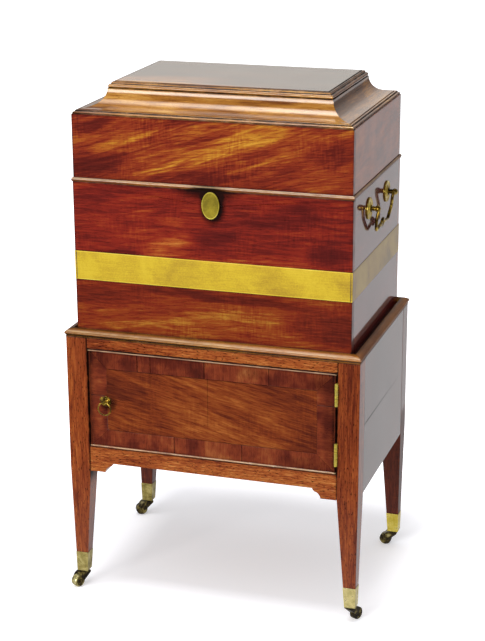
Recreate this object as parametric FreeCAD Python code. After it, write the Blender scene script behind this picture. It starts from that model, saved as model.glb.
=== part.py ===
import FreeCAD, Part
import math
import os

# A cellarette: a lift-off bottle chest with a coved, hinged lid, standing in the moulded top of a
# cupboard stand on tapered legs with brass socket casters.
# Frame: the origin is on the floor under the middle of the stand, +Z up, the front faces -Y and
# +X is to the right of someone who faces the front. All sizes are in millimetres.

V = FreeCAD.Vector

# ---------------------------------------------------------------- stand
STAND_TOP = 450.0
STAND_BORDER_X = 17.0
STAND_BORDER_Y = 10.5
LEG_WIDTH = 36.0
LEG_DEPTH = 34.0
LEG_FOOT = 18.0
LEG_INSET_X = 3.5
LEG_INSET_Y = 5.0
TAPER_DROP = 35.0
SIDE_THICK = 18.0
SIDE_DROP = 39.0
SIDE_JOINT_RISE = 77.0
SIDE_INSET = 0.3
BACK_THICK = 14.0
RAIL_THICK = 20.0
TOP_RAIL_HEIGHT = 18.0
OPENING_HEIGHT = 172.0
BOTTOM_RAIL_HEIGHT = 26.5
BRACKET_DROP = 16.5
BRACKET_FLAT = 26.0
BRACKET_REACH = 40.0
FLOOR_RISE = 4.0
FLOOR_THICK = 10.0
DUST_BOARD_THICK = 10.0

# Moulding round the stand's top, which keeps the chest in place
TRAY_PROUD = 2.0
TRAY_WIDTH = 12.0
TRAY_HEIGHT = 12.6
TRAY_NOSE = 9.2
TRAY_FILLET = 1.6

# ---------------------------------------------------------------- casters
SOCKET_HEIGHT = 35.0
SOCKET_FLOOR = 3.0
SOCKET_WALL = 1.2
SOCKET_PROUD = 0.4
SOCKET_FIT = 0.05
WHEEL_RADIUS = 10.5
WHEEL_WIDTH = 12.4
WHEEL_TREAD = 8.0
WHEEL_ROUNDING = 1.0
WHEEL_GAP = 0.3
CASTER_TRAIL = 14.2
CHEEK_THICK = 2.0
AXLE_RADIUS = 1.5
RUNNING_FIT = 0.06
STEM_RADIUS = 2.5
STEM_HEAD_RADIUS = 3.5
STEM_HEAD_THICK = 1.7
SWIVEL_GAP = 0.3
FORK_RISE = 7.0
CROWN_THICK = 2.0
FLANGE_RADIUS = 6.5
RIVET_RADIUS = 2.5
RIVET_HEAD = 0.9
HUB_RADIUS = 4.2
DISH_RADIUS = 7.6
DISH_DEPTH = 0.8
# Rest direction of each caster's trail, in degrees from +X
CASTER_ANGLES = {"front_left": 238.0, "front_right": 66.0, "back_left": 214.0, "back_right": 180.0}

# ---------------------------------------------------------------- door
DOOR_GAP = 1.0
DOOR_HINGE_GAP = 1.5
DOOR_FACE_SET_BACK = 1.4
DOOR_BACK_SET_BACK = 19.0
VENEER_THICK = 1.0
VENEER_JOINT = 0.1
BAND_WIDTH = 28.0
# Where the crossbanding's lengths meet, from the door's middle
BAND_JOINTS_TOP = (-124.2, -101.8, -9.5, 98.8)
BAND_JOINTS_BOTTOM = (-62.4, 53.1)
BAND_JOINTS_LEFT = (6.0,)
BAND_JOINTS_RIGHT = (29.0,)
DOOR_BEAD_WIDTH = 3.5
DOOR_BEAD_PROUD = 1.6
DOOR_BEAD_DEPTH = 10.0
DOOR_HINGE_LENGTH = 37.0
DOOR_HINGE_FROM_TOP = 17.0
DOOR_HINGE_FROM_BOTTOM = 17.0
DOOR_KNUCKLE_RADIUS = 2.7
DOOR_KNUCKLE_GAP = 0.35
DOOR_LEAF_THICK = 1.2
DOOR_LEAF_DEPTH = 17.0
HINGE_PIN_RADIUS = 1.0
KNUCKLE_END_GAP = 0.15

# Ring pull and the catch that it turns
PULL_FROM_EDGE = 30.0
PULL_RISE = 83.0
ROSETTE_RADIUS = 8.5
ROSETTE_THICK = 1.6
SPINDLE_RADIUS = 3.0
SPINDLE_FIT = 0.08
PULL_NECK_RADIUS = 3.1
KNOB_RADIUS = 4.8
KNOB_RISE = 4.6
KNOB_LEAN = 2.0
KNOB_FORWARD = 1.4
PULL_COLLAR_RADIUS = 4.4
PULL_GAP = 0.2
EYE_PAST_RING = 3.2
RING_RADIUS = 10.8
RING_WIRE_RADIUS = 1.1
RING_HOLE_RADIUS = 1.45
RING_STAND_OFF = 8.9
CATCH_HOLD = 6.0
CATCH_WIDTH = 11.0
CATCH_THICK = 3.0
CATCH_GAP = 0.4
CATCH_CLEARANCE = 1.5
NUT_RADIUS = 5.0
NUT_THICK = 3.0

# ---------------------------------------------------------------- chest
CHEST_WIDTH = 460.0
CHEST_DEPTH = 317.0
CHEST_HEIGHT = 263.5
WALL = 12.0
CHEST_BOTTOM_THICK = 12.0
CHEST_BEAD_HEIGHT = 7.0
CHEST_BEAD_PROUD = 1.8
CHEST_BEAD_REBATE = 3.0
BRASS_RISE = 96.0
BRASS_HEIGHT = 47.0
BRASS_THICK = 1.4
BRASS_PROUD = 0.5
BRASS_LAP = 2.5
DIVIDER_HEIGHT = 150.0
DIVIDER_THICK = 6.0
DIVIDER_FIT = 0.2
CELLS_LONG = 3

# Box lock, its keyhole plate and the cover that swings over it
LOCK_X = 2.0
LOCK_WIDTH = 60.0
LOCK_DEPTH = 8.0
LOCK_HEIGHT = 50.0
LOCK_PLATE = 1.5
STAPLE_OFFSET = 11.0
STAPLE_WIDTH = 6.0
STAPLE_DROP = 12.0
STAPLE_WALL = 0.9
BOLT_HEIGHT = 4.0
PRONG_THICK = 1.8
BOLT_TRAVEL = 8.0
BOLT_FIT = 0.4
BOLT_RISER = 4.0
BOLT_LIFT = 3.0
BOLT_BAR_DROP = 1.0
BOLT_TIP_GAP = 1.0
KEY_POST_RADIUS = 1.2
KEYHOLE_DROP = 31.5
KEYHOLE_RADIUS = 2.6
KEY_SLOT_WIDTH = 2.2
KEY_SLOT_DROP = 8.0
COVER_WIDTH = 28.4
COVER_HEIGHT = 42.8
COVER_DROP = 29.7
COVER_THICK = 1.6
COVER_RIM = 1.4
COVER_RIM_PROUD = 0.5
COVER_GAP = 0.25
COVER_PIVOT_UP = 15.0
COVER_PIN_RADIUS = 1.4
KEY_PLATE_BORDER = 1.6

# Carrying handles
HANDLE_DROP = 41.5
HANDLE_SPACING = 120.0
HANDLE_AXIS_OUT = 14.0
HANDLE_TILT = 9.0
ROSETTE_R = 17.5
ROSETTE_EDGE = 1.4
ROSETTE_DISH = 3.6
POST_RADIUS = 3.4
POST_COLLAR = 5.2
BALL_RADIUS = 5.2
SHANK_RADIUS = 2.6
SHANK_PAST_WALL = 5.0
BAIL_RADIUS = 2.6
BAIL_PIN_RADIUS = 2.2
BAIL_SCROLL_RADIUS = 5.4
BAIL_SCROLL_WIRE = 2.4
BAIL_DROP = 36.6
BAIL_NECK_IN = 14.5
BAIL_BELLY_IN = 8.5
BAIL_BELLY_DROP = 21.0
BAIL_CORNER_IN = 20.5
BAIL_CORNER_DROP = 41.5
BAIL_BENDS = (5.0, 12.0, 8.0)
BAIL_PIN_IN_BALL = 1.6
BAIL_SHOULDER = 5.4

# ---------------------------------------------------------------- lid
LID_BOX_HEIGHT = 101.1
LID_GAP = 0.4
LID_INSET = 1.0
LID_WALL = 11.0
CAP_RISE = 46.3
CAP_INSET = 54.0
CAP_BOARD_THICK = 13.0
CAP_LEDGE = 12.0
LID_HINGE_FROM_END = 64.0
LID_HINGE_LENGTH = 50.0
LID_KNUCKLE_RADIUS = 2.8
LID_KNUCKLE_GAP = 0.3
LID_LEAF_THICK = 1.5
LID_LEAF_DEPTH = 13.5

# The small flat on the tip of a turned ball or knob
TIP_FLAT = 0.5
# Radial gaps: a pin fixed in its hole, a shank through wood, and a leaf from the other leaf's knuckles
FIXED_FIT = 0.01
SHANK_FIT = 0.05
LEAF_CLEARANCE = 0.15

# ---------------------------------------------------------------- worked-out places
CHEST_X = CHEST_WIDTH / 2
CHEST_Y = CHEST_DEPTH / 2
CHEST_TOP = STAND_TOP + CHEST_HEIGHT
RIGHT = CHEST_X + STAND_BORDER_X
BACK = CHEST_Y + STAND_BORDER_Y
FRONT = -BACK
OPENING_HALF = RIGHT - LEG_WIDTH
OPENING_TOP = STAND_TOP - TOP_RAIL_HEIGHT
OPENING_BOTTOM = OPENING_TOP - OPENING_HEIGHT
RAIL_BOTTOM = OPENING_BOTTOM - BOTTOM_RAIL_HEIGHT
BRACKET_BOTTOM = RAIL_BOTTOM - BRACKET_DROP
FLOOR_TOP = OPENING_BOTTOM + FLOOR_RISE
TAPER_TOP = OPENING_BOTTOM - TAPER_DROP
SIDE_BOTTOM = OPENING_BOTTOM - SIDE_DROP
SIDE_JOINT = OPENING_BOTTOM + SIDE_JOINT_RISE
SOCKET_BOTTOM = 2 * WHEEL_RADIUS + FORK_RISE
SOCKET_TOP = SOCKET_BOTTOM + SOCKET_HEIGHT
WHEEL_EDGE_RADIUS = WHEEL_RADIUS - WHEEL_ROUNDING
INNER_X = CHEST_X - WALL
INNER_Y = CHEST_Y - WALL
INNER_BOTTOM = STAND_TOP + CHEST_BOTTOM_THICK
BRASS_BOTTOM = STAND_TOP + BRASS_RISE
BRASS_TOP = BRASS_BOTTOM + BRASS_HEIGHT
KEYHOLE_Z = CHEST_TOP - KEYHOLE_DROP
COVER_Z = CHEST_TOP - COVER_DROP
HANDLE_Z = CHEST_TOP - HANDLE_DROP
LID_BOTTOM = CHEST_TOP + LID_GAP
LID_BOX_TOP = LID_BOTTOM + LID_BOX_HEIGHT
LID_X = CHEST_X - LID_INSET
LID_Y = CHEST_Y - LID_INSET
LID_HINGE_X = LID_X - LID_HINGE_FROM_END - LID_HINGE_LENGTH / 2
DOOR_FRONT = FRONT + DOOR_FACE_SET_BACK
DOOR_BACK = FRONT + DOOR_BACK_SET_BACK
DOOR_LEFT = -OPENING_HALF + DOOR_GAP
DOOR_RIGHT = OPENING_HALF - DOOR_HINGE_GAP
DOOR_TOP = OPENING_TOP - DOOR_GAP
DOOR_BOTTOM = OPENING_BOTTOM + DOOR_GAP
DOOR_MIDDLE_X = (DOOR_LEFT + DOOR_RIGHT) / 2
DOOR_MIDDLE_Z = (DOOR_TOP + DOOR_BOTTOM) / 2
PULL_X = DOOR_LEFT + PULL_FROM_EDGE
PULL_Z = OPENING_BOTTOM + PULL_RISE
CATCH_REACH = PULL_FROM_EDGE + DOOR_GAP + CATCH_HOLD
BEAD_FRONT = DOOR_FRONT - DOOR_BEAD_PROUD
DOOR_AXIS_X = OPENING_HALF - DOOR_HINGE_GAP / 2
DOOR_AXIS_Y = BEAD_FRONT - DOOR_KNUCKLE_RADIUS - DOOR_KNUCKLE_GAP
LID_AXIS_Y = CHEST_Y + CHEST_BEAD_PROUD + LID_KNUCKLE_RADIUS + LID_KNUCKLE_GAP
LID_AXIS_Z = CHEST_TOP + LID_GAP / 2
HANDLE_AXIS_X = CHEST_X + HANDLE_AXIS_OUT
CORNERS = {"front_left": (-1, -1), "front_right": (1, -1), "back_left": (-1, 1), "back_right": (1, 1)}


# ---------------------------------------------------------------- helpers
def box(x0, x1, y0, y1, z0, z1):
    return Part.makeBox(x1 - x0, y1 - y0, z1 - z0, V(x0, y0, z0))


def cylinder(radius, start, end):
    axis = end - start
    return Part.makeCylinder(radius, axis.Length, start, axis)


def prism(points, direction):
    """A solid swept straight along a vector from the polygon through the points."""
    return Part.Face(Part.makePolygon(points + [points[0]])).extrude(direction)


def outline_face(outline, place):
    """A face whose outline holds 2-D points, and (middle, end) pairs for arcs."""
    edges = []
    last = place(*outline[0])
    first = last
    for step in outline[1:]:
        if isinstance(step[0], tuple):
            middle, end = place(*step[0]), place(*step[1])
            edges.append(Part.Arc(last, middle, end).toShape())
        else:
            end = place(*step)
            edges.append(Part.LineSegment(last, end).toShape())
        last = end
    if last.distanceToPoint(first) > 1e-6:
        edges.append(Part.LineSegment(last, first).toShape())
    return Part.Face(Part.Wire(edges))


def turned(outline, origin, axis):
    """A solid of revolution: the outline's points are (radius, distance along the axis)."""
    face = outline_face(outline, lambda r, h: V(r, 0, h))
    solid = face.revolve(V(0, 0, 0), V(0, 0, 1), 360)
    solid.Placement = FreeCAD.Placement(origin, FreeCAD.Rotation(V(0, 0, 1), axis))
    return solid


def ball_cap(ball, middle, radius):
    """Outline steps over a ball's end, from a radius in to a tiny flat on the axis.

    ball is the ball's radius and middle its centre's distance along the axis."""
    half = (radius + TIP_FLAT) / 2
    end = middle + math.sqrt(ball ** 2 - TIP_FLAT ** 2)
    return [((half, middle + math.sqrt(ball ** 2 - half ** 2)), (TIP_FLAT, end)), (0, end)]


def placed(shape, origin, ex, ey, ez):
    """The shape with its own X, Y and Z axes laid along ex, ey and ez from the origin."""
    matrix = FreeCAD.Matrix(ex.x, ey.x, ez.x, origin.x, ex.y, ey.y, ez.y, origin.y,
                            ex.z, ey.z, ez.z, origin.z, 0, 0, 0, 1)
    moved = shape.copy()
    moved.Placement = FreeCAD.Placement(matrix).multiply(moved.Placement)
    return moved


def fused(first, *others):
    return first.multiFuse(list(others)).removeSplitter()


def mirrored(shape):
    return shape.mirror(V(0, 0, 0), V(1, 0, 0))


def save(name, *solids):
    for solid in solids:
        if not solid.isValid() or solid.Volume <= 0:
            raise ValueError(name + " has a bad solid")
    shape = solids[0] if len(solids) == 1 else Part.Compound(list(solids))
    shape.exportStep("parts/" + name + ".step")
    print(name, len(solids), "solids", round(shape.Volume / 1000, 2), "cm3")


def mitred_length(outline, half_x, half_y, widest, proud):
    """The front length of a moulding round a rectangle, cut at 45 degrees at both ends.

    The outline's points are (inset from the rectangle's edge, height)."""
    reach = half_x + proud + 1
    face = outline_face(outline, lambda s, h: V(-reach, -half_y + s, h))
    length = face.extrude(V(2 * reach, 0, 0))
    low, high = length.BoundBox.ZMin - 1, length.BoundBox.ZMax + 1
    ends = [V(-half_x - proud, -half_y - proud, low), V(half_x + proud, -half_y - proud, low),
            V(half_x - widest, -half_y + widest, low), V(-half_x + widest, -half_y + widest, low)]
    return length.common(prism(ends, V(0, 0, high - low)))


def mitred_frame(outline, half_x, half_y, widest, proud=0.0):
    """Four mitred lengths round a rectangle centred on the origin: front, right, back, left."""
    lengths = []
    for turn in range(4):
        sizes = (half_x, half_y) if turn % 2 == 0 else (half_y, half_x)
        piece = mitred_length(outline, sizes[0], sizes[1], widest, proud)
        piece.rotate(V(0, 0, 0), V(0, 0, 1), 90 * turn)
        lengths.append(piece)
    return lengths


def butt_hinge(length, radius, thick, depth, gap, clear):
    """Two leaves and a pin, with the pin along Z from 0: (leaf on +X, leaf on -X, pin).

    The leaves lie along +Y. clear is how far a leaf stays from the other leaf's knuckles."""
    third = length / 3
    spans = [(0, third), (third, 2 * third), (2 * third, length)]
    leaves = []
    for side, own in ((1, (0, 2)), (-1, (1,))):
        inner, outer = side * gap / 2, side * (gap / 2 + thick)
        x0, x1 = min(inner, outer), max(inner, outer)
        leaf = box(x0, x1, clear, depth, 0, length)
        for index in own:
            low = spans[index][0] + (KNUCKLE_END_GAP if index else 0)
            high = spans[index][1] - (KNUCKLE_END_GAP if index < 2 else 0)
            knuckle = cylinder(radius, V(0, 0, low), V(0, 0, high))
            leaf = fused(leaf, knuckle, box(x0, x1, 0, clear, low, high))
        bore = HINGE_PIN_RADIUS + (RUNNING_FIT if side < 0 else 0.0)
        leaves.append(leaf.cut(cylinder(bore, V(0, 0, -1), V(0, 0, length + 1))))
    pin = cylinder(HINGE_PIN_RADIUS, V(0, 0, 0), V(0, 0, length))
    return leaves[0], leaves[1], pin


# ---------------------------------------------------------------- stand
def leg_wire(corner, z, grow):
    """The leg's square outline at height z, grown by a margin on every side."""
    sx, sy = CORNERS[corner]
    drop = max(0.0, TAPER_TOP - z) / (TAPER_TOP - SOCKET_BOTTOM)
    outer_x = RIGHT - LEG_INSET_X * drop
    outer_y = BACK - LEG_INSET_Y * drop
    inner_x = outer_x - (LEG_WIDTH + (LEG_FOOT - LEG_WIDTH) * drop)
    inner_y = outer_y - (LEG_DEPTH + (LEG_FOOT - LEG_DEPTH) * drop)
    xs = (sx * (outer_x + grow), sx * (inner_x - grow))
    ys = (sy * (outer_y + grow), sy * (inner_y - grow))
    points = [V(xs[0], ys[0], z), V(xs[1], ys[0], z), V(xs[1], ys[1], z), V(xs[0], ys[1], z)]
    return Part.makePolygon(points + [points[0]])


def leg_stretch(corner, z0, z1, grow):
    return Part.makeLoft([leg_wire(corner, z0, grow), leg_wire(corner, z1, grow)], True, True)


def foot_centre(corner):
    """The middle of the leg's foot, where the caster's stem stands."""
    sx, sy = CORNERS[corner]
    return V(sx * (RIGHT - LEG_INSET_X - LEG_FOOT / 2), sy * (BACK - LEG_INSET_Y - LEG_FOOT / 2), 0)


def leg(corner):
    tenon_low = SOCKET_BOTTOM + SOCKET_FLOOR + 2 * SWIVEL_GAP + STEM_HEAD_THICK
    inset = SOCKET_PROUD - SOCKET_WALL - SOCKET_FIT
    solid = fused(leg_stretch(corner, TAPER_TOP, STAND_TOP, 0),
                  leg_stretch(corner, SOCKET_TOP, TAPER_TOP, 0),
                  leg_stretch(corner, tenon_low, SOCKET_TOP, inset))
    if corner == "front_left":
        solid = solid.cut(catch_mortise())
    if corner == "front_right":
        solid = solid.cut(Part.Compound(door_hinge_recesses(1)))
    return solid


def catch_mortise():
    """The slot in the left leg that the door's catch swings up into."""
    edge = OPENING_HALF + PULL_X
    reach = CATCH_REACH - edge
    half = CATCH_WIDTH / 2 + CATCH_CLEARANCE
    sweep = math.sqrt(CATCH_REACH ** 2 + (CATCH_WIDTH / 2) ** 2 - edge ** 2) + CATCH_CLEARANCE
    y0 = DOOR_BACK + CATCH_GAP - CATCH_CLEARANCE / 2
    y1 = DOOR_BACK + CATCH_GAP + CATCH_THICK + CATCH_CLEARANCE
    return box(-OPENING_HALF - reach - CATCH_CLEARANCE, -OPENING_HALF, y0, y1, PULL_Z - sweep, PULL_Z + half)


def side_boards(side):
    """The upper and lower board of one side, between the legs."""
    outer = RIGHT - SIDE_INSET
    x0, x1 = (outer - SIDE_THICK, outer) if side > 0 else (-outer, -outer + SIDE_THICK)
    y = BACK - LEG_DEPTH
    return (box(x0, x1, -y, y, SIDE_BOTTOM, SIDE_JOINT), box(x0, x1, -y, y, SIDE_JOINT, STAND_TOP))


def back_panel():
    y1 = BACK - SIDE_INSET
    return box(-OPENING_HALF, OPENING_HALF, y1 - BACK_THICK, y1, SIDE_BOTTOM, STAND_TOP)


def front_top_rail():
    return box(-OPENING_HALF, OPENING_HALF, FRONT, FRONT + RAIL_THICK, OPENING_TOP, STAND_TOP)


def front_bottom_rail():
    """The rail under the door and its two shaped bracket ends."""
    rail = box(-OPENING_HALF, OPENING_HALF, FRONT, FRONT + RAIL_THICK, RAIL_BOTTOM, OPENING_BOTTOM)
    rise = RAIL_BOTTOM - BRACKET_BOTTOM
    run = BRACKET_REACH - BRACKET_FLAT
    outline = [(0, RAIL_BOTTOM), (0, BRACKET_BOTTOM), (BRACKET_FLAT, BRACKET_BOTTOM),
               ((BRACKET_FLAT + run * 0.22, BRACKET_BOTTOM + rise * 0.42),
                (BRACKET_FLAT + run * 0.52, BRACKET_BOTTOM + rise * 0.62)),
               ((BRACKET_FLAT + run * 0.86, BRACKET_BOTTOM + rise * 0.76), (BRACKET_REACH, RAIL_BOTTOM))]
    face = outline_face(outline, lambda u, z: V(-OPENING_HALF + u, FRONT, z))
    left = face.extrude(V(0, RAIL_THICK, 0))
    return rail, left, mirrored(left)


def inside_board(z0, z1):
    """A level board that fills the stand inside its sides, notched round the legs."""
    x = RIGHT - SIDE_INSET - SIDE_THICK
    board = box(-x, x, FRONT + RAIL_THICK, BACK - SIDE_INSET - BACK_THICK, z0, z1)
    corner = box(OPENING_HALF, RIGHT, BACK - LEG_DEPTH, BACK, z0 - 1, z1 + 1)
    notches = []
    for shape in (corner, mirrored(corner)):
        notches += [shape, shape.mirror(V(0, 0, 0), V(0, 1, 0))]
    return board.cut(Part.Compound(notches))


def tray_moulding():
    """Mitred lengths round the stand's top: a sloped top, a rounded nose and a small fillet."""
    top, nose, width = TRAY_HEIGHT, TRAY_NOSE, TRAY_WIDTH
    outline = [(width, 0), (TRAY_FILLET, 0), (TRAY_FILLET, 1.2), ((2.3, 1.9), (2.2, 2.7)),
               ((0, 5.4), (2.6, nose)), (3.0, nose + 0.2), ((7.0, top - 1.1), (width, top))]
    frame = mitred_frame(outline, RIGHT + TRAY_PROUD, BACK + TRAY_PROUD, width)
    for piece in frame:
        piece.translate(V(0, 0, STAND_TOP))
    return frame


# ---------------------------------------------------------------- casters
def caster_socket(corner):
    """A square brass cup on the leg's end, bored for the caster's stem."""
    cup = leg_stretch(corner, SOCKET_BOTTOM, SOCKET_TOP, SOCKET_PROUD)
    inner = SOCKET_PROUD - SOCKET_WALL
    cup = cup.cut(leg_stretch(corner, SOCKET_BOTTOM + SOCKET_FLOOR, SOCKET_TOP + 1, inner))
    centre = foot_centre(corner)
    bore = STEM_RADIUS + RUNNING_FIT
    return cup.cut(cylinder(bore, centre + V(0, 0, SOCKET_BOTTOM - 1), centre + V(0, 0, SOCKET_TOP)))


def caster_fork():
    """Fork with its stem on the Z axis and its trail along +X, and the axle riveted through it."""
    half = WHEEL_WIDTH / 2 + WHEEL_GAP + CHEEK_THICK
    top = SOCKET_BOTTOM - SWIVEL_GAP
    crown = top - CROWN_THICK
    eye = V(CASTER_TRAIL, 0, WHEEL_RADIUS)
    outline = [(-7.0, crown), (-6.6, crown - 2.6), ((1.2, 16.0), (eye.x - 4.4, eye.z - 1.6)),
               ((eye.x + 0.6, eye.z - 4.6), (eye.x + 4.6, eye.z)), ((eye.x + 2.2, 20.4), (7.6, crown))]
    face = outline_face(outline, lambda t, z: V(t, -half, z))
    horn = face.extrude(V(0, 2 * half, 0))
    slot = half - CHEEK_THICK
    wheel_room = cylinder(WHEEL_RADIUS + 1.0, eye + V(0, -slot, 0), eye + V(0, slot, 0))
    horn = horn.cut(wheel_room)
    flange = cylinder(FLANGE_RADIUS, V(0, 0, crown - 1.0), V(0, 0, top))
    head_low = SOCKET_BOTTOM + SOCKET_FLOOR + SWIVEL_GAP
    stem = cylinder(STEM_RADIUS, V(0, 0, crown), V(0, 0, head_low + 0.5))
    head = cylinder(STEM_HEAD_RADIUS, V(0, 0, head_low), V(0, 0, head_low + STEM_HEAD_THICK))
    fork = fused(horn, flange, stem, head)
    fork = fork.cut(cylinder(AXLE_RADIUS, eye + V(0, -half - 1, 0), eye + V(0, half + 1, 0)))
    axle = cylinder(AXLE_RADIUS - FIXED_FIT, eye + V(0, -half, 0), eye + V(0, half, 0))
    for side in (-1, 1):
        rivet = cylinder(RIVET_RADIUS, eye + V(0, side * half, 0), eye + V(0, side * (half + RIVET_HEAD), 0))
        axle = fused(axle, rivet)
    return fork, axle


def caster_wheel():
    """A brass roller with a flat tread and rounded edges, dished at its ends and bored for its axle."""
    half = WHEEL_WIDTH / 2
    bore, edge = AXLE_RADIUS + RUNNING_FIT, WHEEL_EDGE_RADIUS
    dish, rim, tread = half - DISH_DEPTH, half - 0.2, WHEEL_TREAD / 2
    shoulder = (edge + 0.7 * WHEEL_ROUNDING, dish - 0.3 * (dish - tread))
    outline = [(bore, -half), (HUB_RADIUS, -half), (HUB_RADIUS, -dish), (DISH_RADIUS, -dish),
               (DISH_RADIUS, -rim), (edge - 0.6, -rim), (edge, -dish),
               ((shoulder[0], -shoulder[1]), (WHEEL_RADIUS, -tread)), (WHEEL_RADIUS, tread),
               (shoulder, (edge, dish)), (edge - 0.6, rim),
               (DISH_RADIUS, rim), (DISH_RADIUS, dish), (HUB_RADIUS, dish), (HUB_RADIUS, half), (bore, half)]
    return turned(outline, V(CASTER_TRAIL, 0, WHEEL_RADIUS), V(0, 1, 0))


def at_caster(shape, corner):
    """A caster piece turned to its rest direction under its leg."""
    moved = shape.copy()
    moved.rotate(V(0, 0, 0), V(0, 0, 1), CASTER_ANGLES[corner])
    moved.translate(foot_centre(corner))
    return moved


# ---------------------------------------------------------------- door
def door_hinge_bottoms():
    return (OPENING_BOTTOM + DOOR_HINGE_FROM_BOTTOM, OPENING_TOP - DOOR_HINGE_FROM_TOP - DOOR_HINGE_LENGTH)


def door_hinge_recesses(side):
    """Shallow cuts for the hinge leaves: side +1 is in the leg, -1 is in the door's edge."""
    cuts = []
    inner = DOOR_AXIS_X + side * DOOR_HINGE_GAP / 2
    outer = inner + side * DOOR_LEAF_THICK
    for z in door_hinge_bottoms():
        y1 = DOOR_AXIS_Y + DOOR_LEAF_DEPTH
        reach = inner - side * 1.0
        cuts.append(box(min(reach, outer), max(reach, outer), DOOR_AXIS_Y, y1, z, z + DOOR_HINGE_LENGTH))
    return cuts


def door_hinges():
    """For both hinges: the leaves on the leg with their pins, and the leaves on the door."""
    clear = DOOR_KNUCKLE_RADIUS + LEAF_CLEARANCE
    leg_leaf, door_leaf, pin = butt_hinge(DOOR_HINGE_LENGTH, DOOR_KNUCKLE_RADIUS, DOOR_LEAF_THICK,
                                          DOOR_LEAF_DEPTH, DOOR_HINGE_GAP, clear)
    places = [V(DOOR_AXIS_X, DOOR_AXIS_Y, z) for z in door_hinge_bottoms()]
    fixed = [shape.translated(place) for place in places for shape in (leg_leaf, pin)]
    moving = [door_leaf.translated(place) for place in places]
    return fixed, moving


def facing_front(shape, y):
    """A shape built lying on its back in the XY plane, stood up to face the front of the door."""
    return placed(shape, V(DOOR_MIDDLE_X, y, DOOR_MIDDLE_Z), V(1, 0, 0), V(0, 0, 1), V(0, -1, 0))


def spindle_hole():
    radius = SPINDLE_RADIUS + SPINDLE_FIT
    return cylinder(radius, V(PULL_X, FRONT - 5, PULL_Z), V(PULL_X, DOOR_BACK + 1, PULL_Z))


def door_board():
    board_front = DOOR_FRONT + VENEER_THICK
    board = box(DOOR_LEFT, DOOR_RIGHT, board_front, DOOR_BACK, DOOR_BOTTOM, DOOR_TOP)
    bead_back = BEAD_FRONT + DOOR_BEAD_PROUD + DOOR_BEAD_DEPTH
    rim = box(DOOR_LEFT - 1, DOOR_RIGHT + 1, board_front - 1, bead_back, DOOR_BOTTOM - 1, DOOR_TOP + 1)
    wide = DOOR_BEAD_WIDTH
    core = box(DOOR_LEFT + wide, DOOR_RIGHT - wide, board_front - 2, bead_back + 1,
               DOOR_BOTTOM + wide, DOOR_TOP - wide)
    board = board.cut(rim.cut(core))
    return board.cut(Part.Compound(door_hinge_recesses(-1) + [spindle_hole()]))


def door_cockbead():
    """Four mitred beads let into the door's edges, with round noses."""
    wide = DOOR_BEAD_WIDTH
    straight = DOOR_BEAD_DEPTH + DOOR_BEAD_PROUD - wide / 2
    outline = [(wide, 0), (0, 0), (0, straight), ((wide / 2, straight + wide / 2), (wide, straight))]
    frame = mitred_frame(outline, (DOOR_RIGHT - DOOR_LEFT) / 2, (DOOR_TOP - DOOR_BOTTOM) / 2, wide)
    back = BEAD_FRONT + straight + wide / 2
    recesses = Part.Compound(door_hinge_recesses(-1))
    return [facing_front(piece, back).cut(recesses) for piece in frame]


def door_crossbanding():
    """The veneer border: four mitred bands, cut into butted lengths by fine joints."""
    half_x = (DOOR_RIGHT - DOOR_LEFT) / 2 - DOOR_BEAD_WIDTH
    half_z = (DOOR_TOP - DOOR_BOTTOM) / 2 - DOOR_BEAD_WIDTH
    outline = [(0, 0), (BAND_WIDTH, 0), (BAND_WIDTH, VENEER_THICK), (0, VENEER_THICK)]
    frame = mitred_frame(outline, half_x, half_z, BAND_WIDTH)
    bands = [facing_front(piece, DOOR_FRONT + VENEER_THICK) for piece in frame]
    joint_sets = (BAND_JOINTS_BOTTOM, BAND_JOINTS_RIGHT, BAND_JOINTS_TOP, BAND_JOINTS_LEFT)
    pieces = []
    for index, (band, joints) in enumerate(zip(bands, joint_sets)):
        upright = index % 2 == 1
        middle = DOOR_MIDDLE_Z if upright else DOOR_MIDDLE_X
        for joint in joints:
            room = band.BoundBox
            low, high = middle + joint - VENEER_JOINT / 2, middle + joint + VENEER_JOINT / 2
            if not upright:
                cut = box(low, high, room.YMin - 1, room.YMax + 1, room.ZMin - 1, room.ZMax + 1)
            else:
                cut = box(room.XMin - 1, room.XMax + 1, room.YMin - 1, room.YMax + 1, low, high)
            band = band.cut(cut)
        pieces += band.Solids
    hole = spindle_hole()
    return [piece.cut(hole) for piece in pieces]


def door_field_veneer():
    inset = DOOR_BEAD_WIDTH + BAND_WIDTH + VENEER_JOINT
    return box(DOOR_LEFT + inset, DOOR_RIGHT - inset, DOOR_FRONT, DOOR_FRONT + VENEER_THICK,
               DOOR_BOTTOM + inset, DOOR_TOP - inset).cut(spindle_hole())


def pull_backplate():
    outline = [(SPINDLE_RADIUS + SPINDLE_FIT, 0), (ROSETTE_RADIUS, 0), (ROSETTE_RADIUS, 0.7),
               ((ROSETTE_RADIUS - 0.6, ROSETTE_THICK), (ROSETTE_RADIUS - 1.5, 1.0)),
               ((6.0, 0.8), (5.2, ROSETTE_THICK)), (SPINDLE_RADIUS + SPINDLE_FIT, ROSETTE_THICK)]
    return turned(outline, V(PULL_X, DOOR_FRONT, PULL_Z), V(0, -1, 0))


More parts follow.
